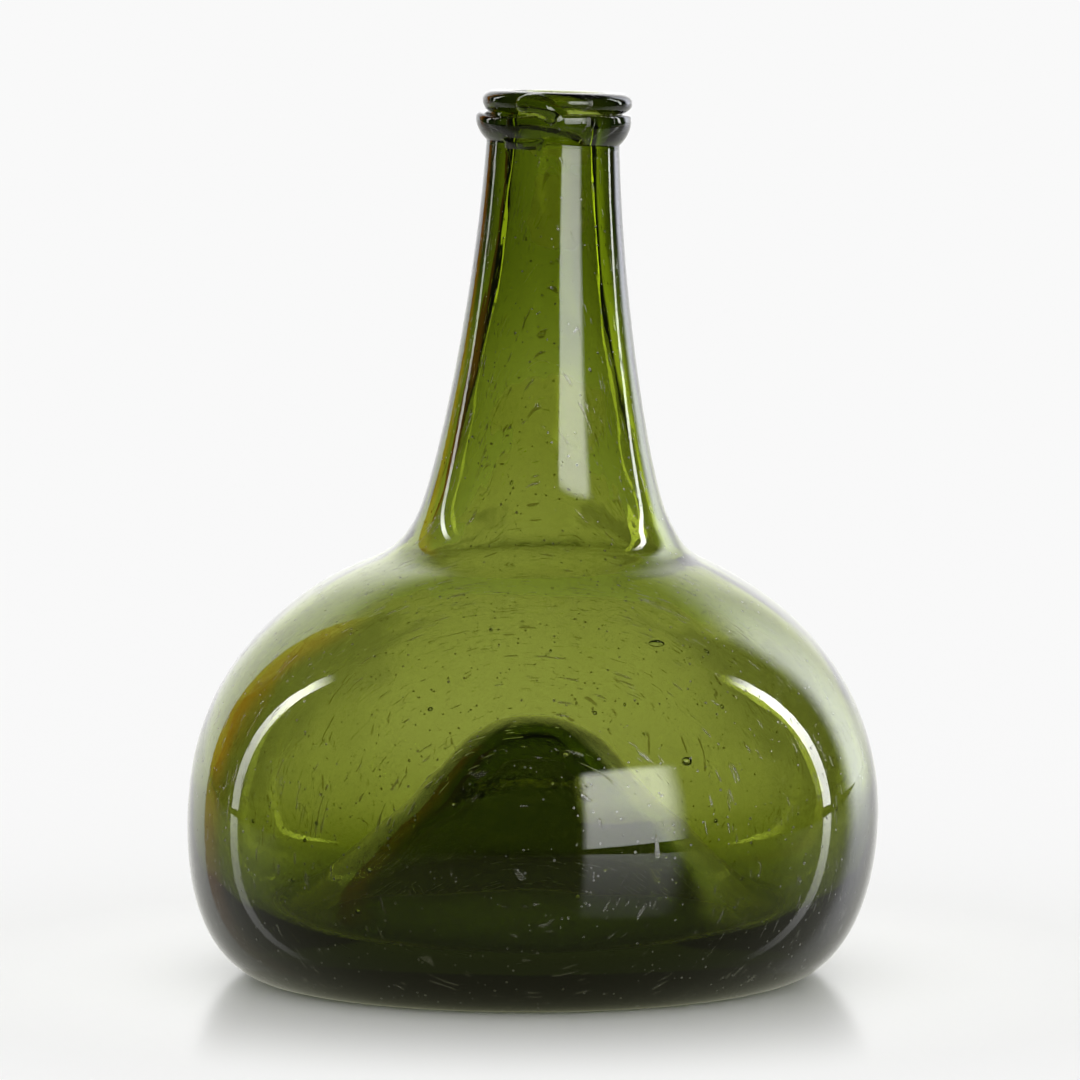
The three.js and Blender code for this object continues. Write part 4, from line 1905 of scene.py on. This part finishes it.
    def surround(self) -> None:
        """Makes the world: white behind the bottle and through it, and a dark room in reflections."""
        world = bpy.data.worlds.new("surround")
        bpy.context.scene.world = world
        world.use_nodes = True
        world.cycles.sampling_method = "NONE"
        world.node_tree.nodes.clear()
        nodes = Nodes(world.node_tree)
        way = nodes.add("ShaderNodeTexCoord").outputs["Generated"]
        parts = nodes.add("ShaderNodeSeparateXYZ", Vector=way)
        side = nodes.math(
            Op.DEGREES, nodes.math(Op.ARCTAN2, parts.outputs[0], parts.outputs[1])
        )
        rise = nodes.math(Op.DEGREES, nodes.math(Op.ARCSINE, parts.outputs[2]))
        mirrored = nodes.blend(
            self.backdrop_mask(nodes, side, rise),
            self.room_mirrored(nodes, side, rise),
            self.backdrop_tone(nodes, side, rise),
        )
        colour = nodes.blend(nodes.ray_is(Ray.MIRRORED), opaque(self.behind_neck), mirrored)
        colour = nodes.blend(nodes.ray_is(Ray.SCATTERED), colour, grey(self.white_scattered))
        colour = nodes.blend(nodes.ray_is(Ray.SEEN), colour, grey(self.white))
        background = nodes.add("ShaderNodeBackground", Color=colour, Strength=1.0)
        nodes.add("ShaderNodeOutputWorld", Surface=background.outputs[0])

    def backdrop_mask(
        self, nodes: Nodes, side: bpy.types.NodeSocket, rise: bpy.types.NodeSocket
    ) -> bpy.types.NodeSocket:
        """Marks where the white backdrop stands in the reflections.

        Args:
            nodes: The helper of the world's nodes.
            side: The socket of the direction's side.
            rise: The socket of the direction's rise.

        Returns:
            The socket that is 1 on the backdrop.
        """
        left, right = self.left_edge, self.right_edge
        return nodes.product(
            nodes.ramp(side, left - self.left_softness, left + self.left_softness),
            nodes.fade(side, right - self.right_softness, right + self.right_softness),
            nodes.fade(rise, self.backdrop_full, self.backdrop_top),
        )

    def room_mirrored(
        self, nodes: Nodes, side: bpy.types.NodeSocket, rise: bpy.types.NodeSocket
    ) -> bpy.types.NodeSocket:
        """Colours the dark room, with the amber thing that stands left of the backdrop.

        Args:
            nodes: The helper of the world's nodes.
            side: The socket of the direction's side.
            rise: The socket of the direction's rise.

        Returns:
            The colour's socket.
        """
        left = self.left_edge
        amber = nodes.product(
            nodes.ramp(side, left - self.amber_width, left - self.amber_width / 3.0),
            nodes.product(
                nodes.ramp(rise, *self.amber_foot), nodes.fade(rise, *self.amber_top)
            ),
            nodes.fade(side, left - self.left_softness, left + self.left_softness),
        )
        return nodes.blend(amber, opaque(self.room), opaque(self.amber_mirrored))

    def backdrop_tone(
        self, nodes: Nodes, side: bpy.types.NodeSocket, rise: bpy.types.NodeSocket
    ) -> bpy.types.NodeSocket:
        """Colours the backdrop, with the glare on its right and the part that edges it in white.

        Args:
            nodes: The helper of the world's nodes.
            side: The socket of the direction's side.
            rise: The socket of the direction's rise.

        Returns:
            The colour's socket.
        """
        bright = nodes.blend(
            nodes.ramp(side, *self.glare_sides),
            grey(self.backdrop_mirrored),
            opaque(self.glare_mirrored),
        )
        grazing = nodes.product(
            nodes.fade(nodes.math(Op.ABSOLUTE, side), *self.edge_sides),
            nodes.ramp(rise, *self.edge_rises),
        )
        return nodes.blend(grazing, bright, grey(self.edge_mirrored))

    def panels(self) -> list[Panel]:
        """Returns the glowing sheets: two side strips and the soft lamp at the front right."""
        return [
            Panel(
                "left strip", centre=(-1851.0, 858.0), low=10.0, high=1850.0, width=165.0,
                facing=65.0, glow=12.5, foot_share=0.24, full_at=0.62, top_edge=0.3, bend=400.0,
            ),
            Panel(
                "right strip", centre=(1851.0, 762.0), low=10.0, high=1900.0, width=175.0,
                facing=-67.0, glow=16.0, foot_share=0.48, full_at=0.5, top_edge=0.3, bend=370.0,
            ),
            Panel(
                "soft lamp", centre=(664.0, -1005.0), low=-140.0, high=650.0, width=806.0,
                facing=32.0, glow=7.6, foot_share=0.62, full_at=0.6,
                left_edge=0.1, right_edge=0.26, top_edge=0.1,
            ),
        ]

    def build(self) -> None:
        """Makes the whole studio and sets how light is followed."""
        self.camera()
        self.floor()
        self.surround()
        for panel in self.panels():
            panel.build()
            log.info("%s: glows in reflections only", panel.name)
        scene = bpy.context.scene
        scene.view_settings.view_transform = "Standard"
        scene.cycles.max_bounces = self.glass_bounces
        scene.cycles.transmission_bounces = self.glass_bounces
        scene.cycles.glossy_bounces = self.gloss_bounces
        scene.cycles.transparent_max_bounces = self.clear_bounces
        scene.cycles.blur_glossy = 0.0
        scene.cycles.use_denoising = True


def main() -> None:
    """Builds the bottle and its studio."""
    logging.basicConfig(level=logging.INFO, format="%(name)s: %(message)s")
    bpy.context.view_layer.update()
    wear = SurfaceWear(
        scratches=FineScratches().group(), specks=DustSpecks().group(), film=HandlingFilm().group()
    )
    clear = BottleGlass(GlassState.CLEAR).material(wear)
    broken = BottleGlass(GlassState.BROKEN, roughness=0.12, worn_inside=1.0).material(wear)

    vessel = Vessel()
    body = vessel.build(named_seeds() + SmallSeeds().scattered(vessel))
    vessel.dress(body, clear)
    log.info("vessel with its string rim: %d faces", len(body.data.polygons))

    PontilScar().dress(broken)
    log.info("pontil scar: dressed as broken glass")

    Studio().build()
    log.info("studio: camera, floor, surround and sheets")


if __name__ == "__main__":
    main()
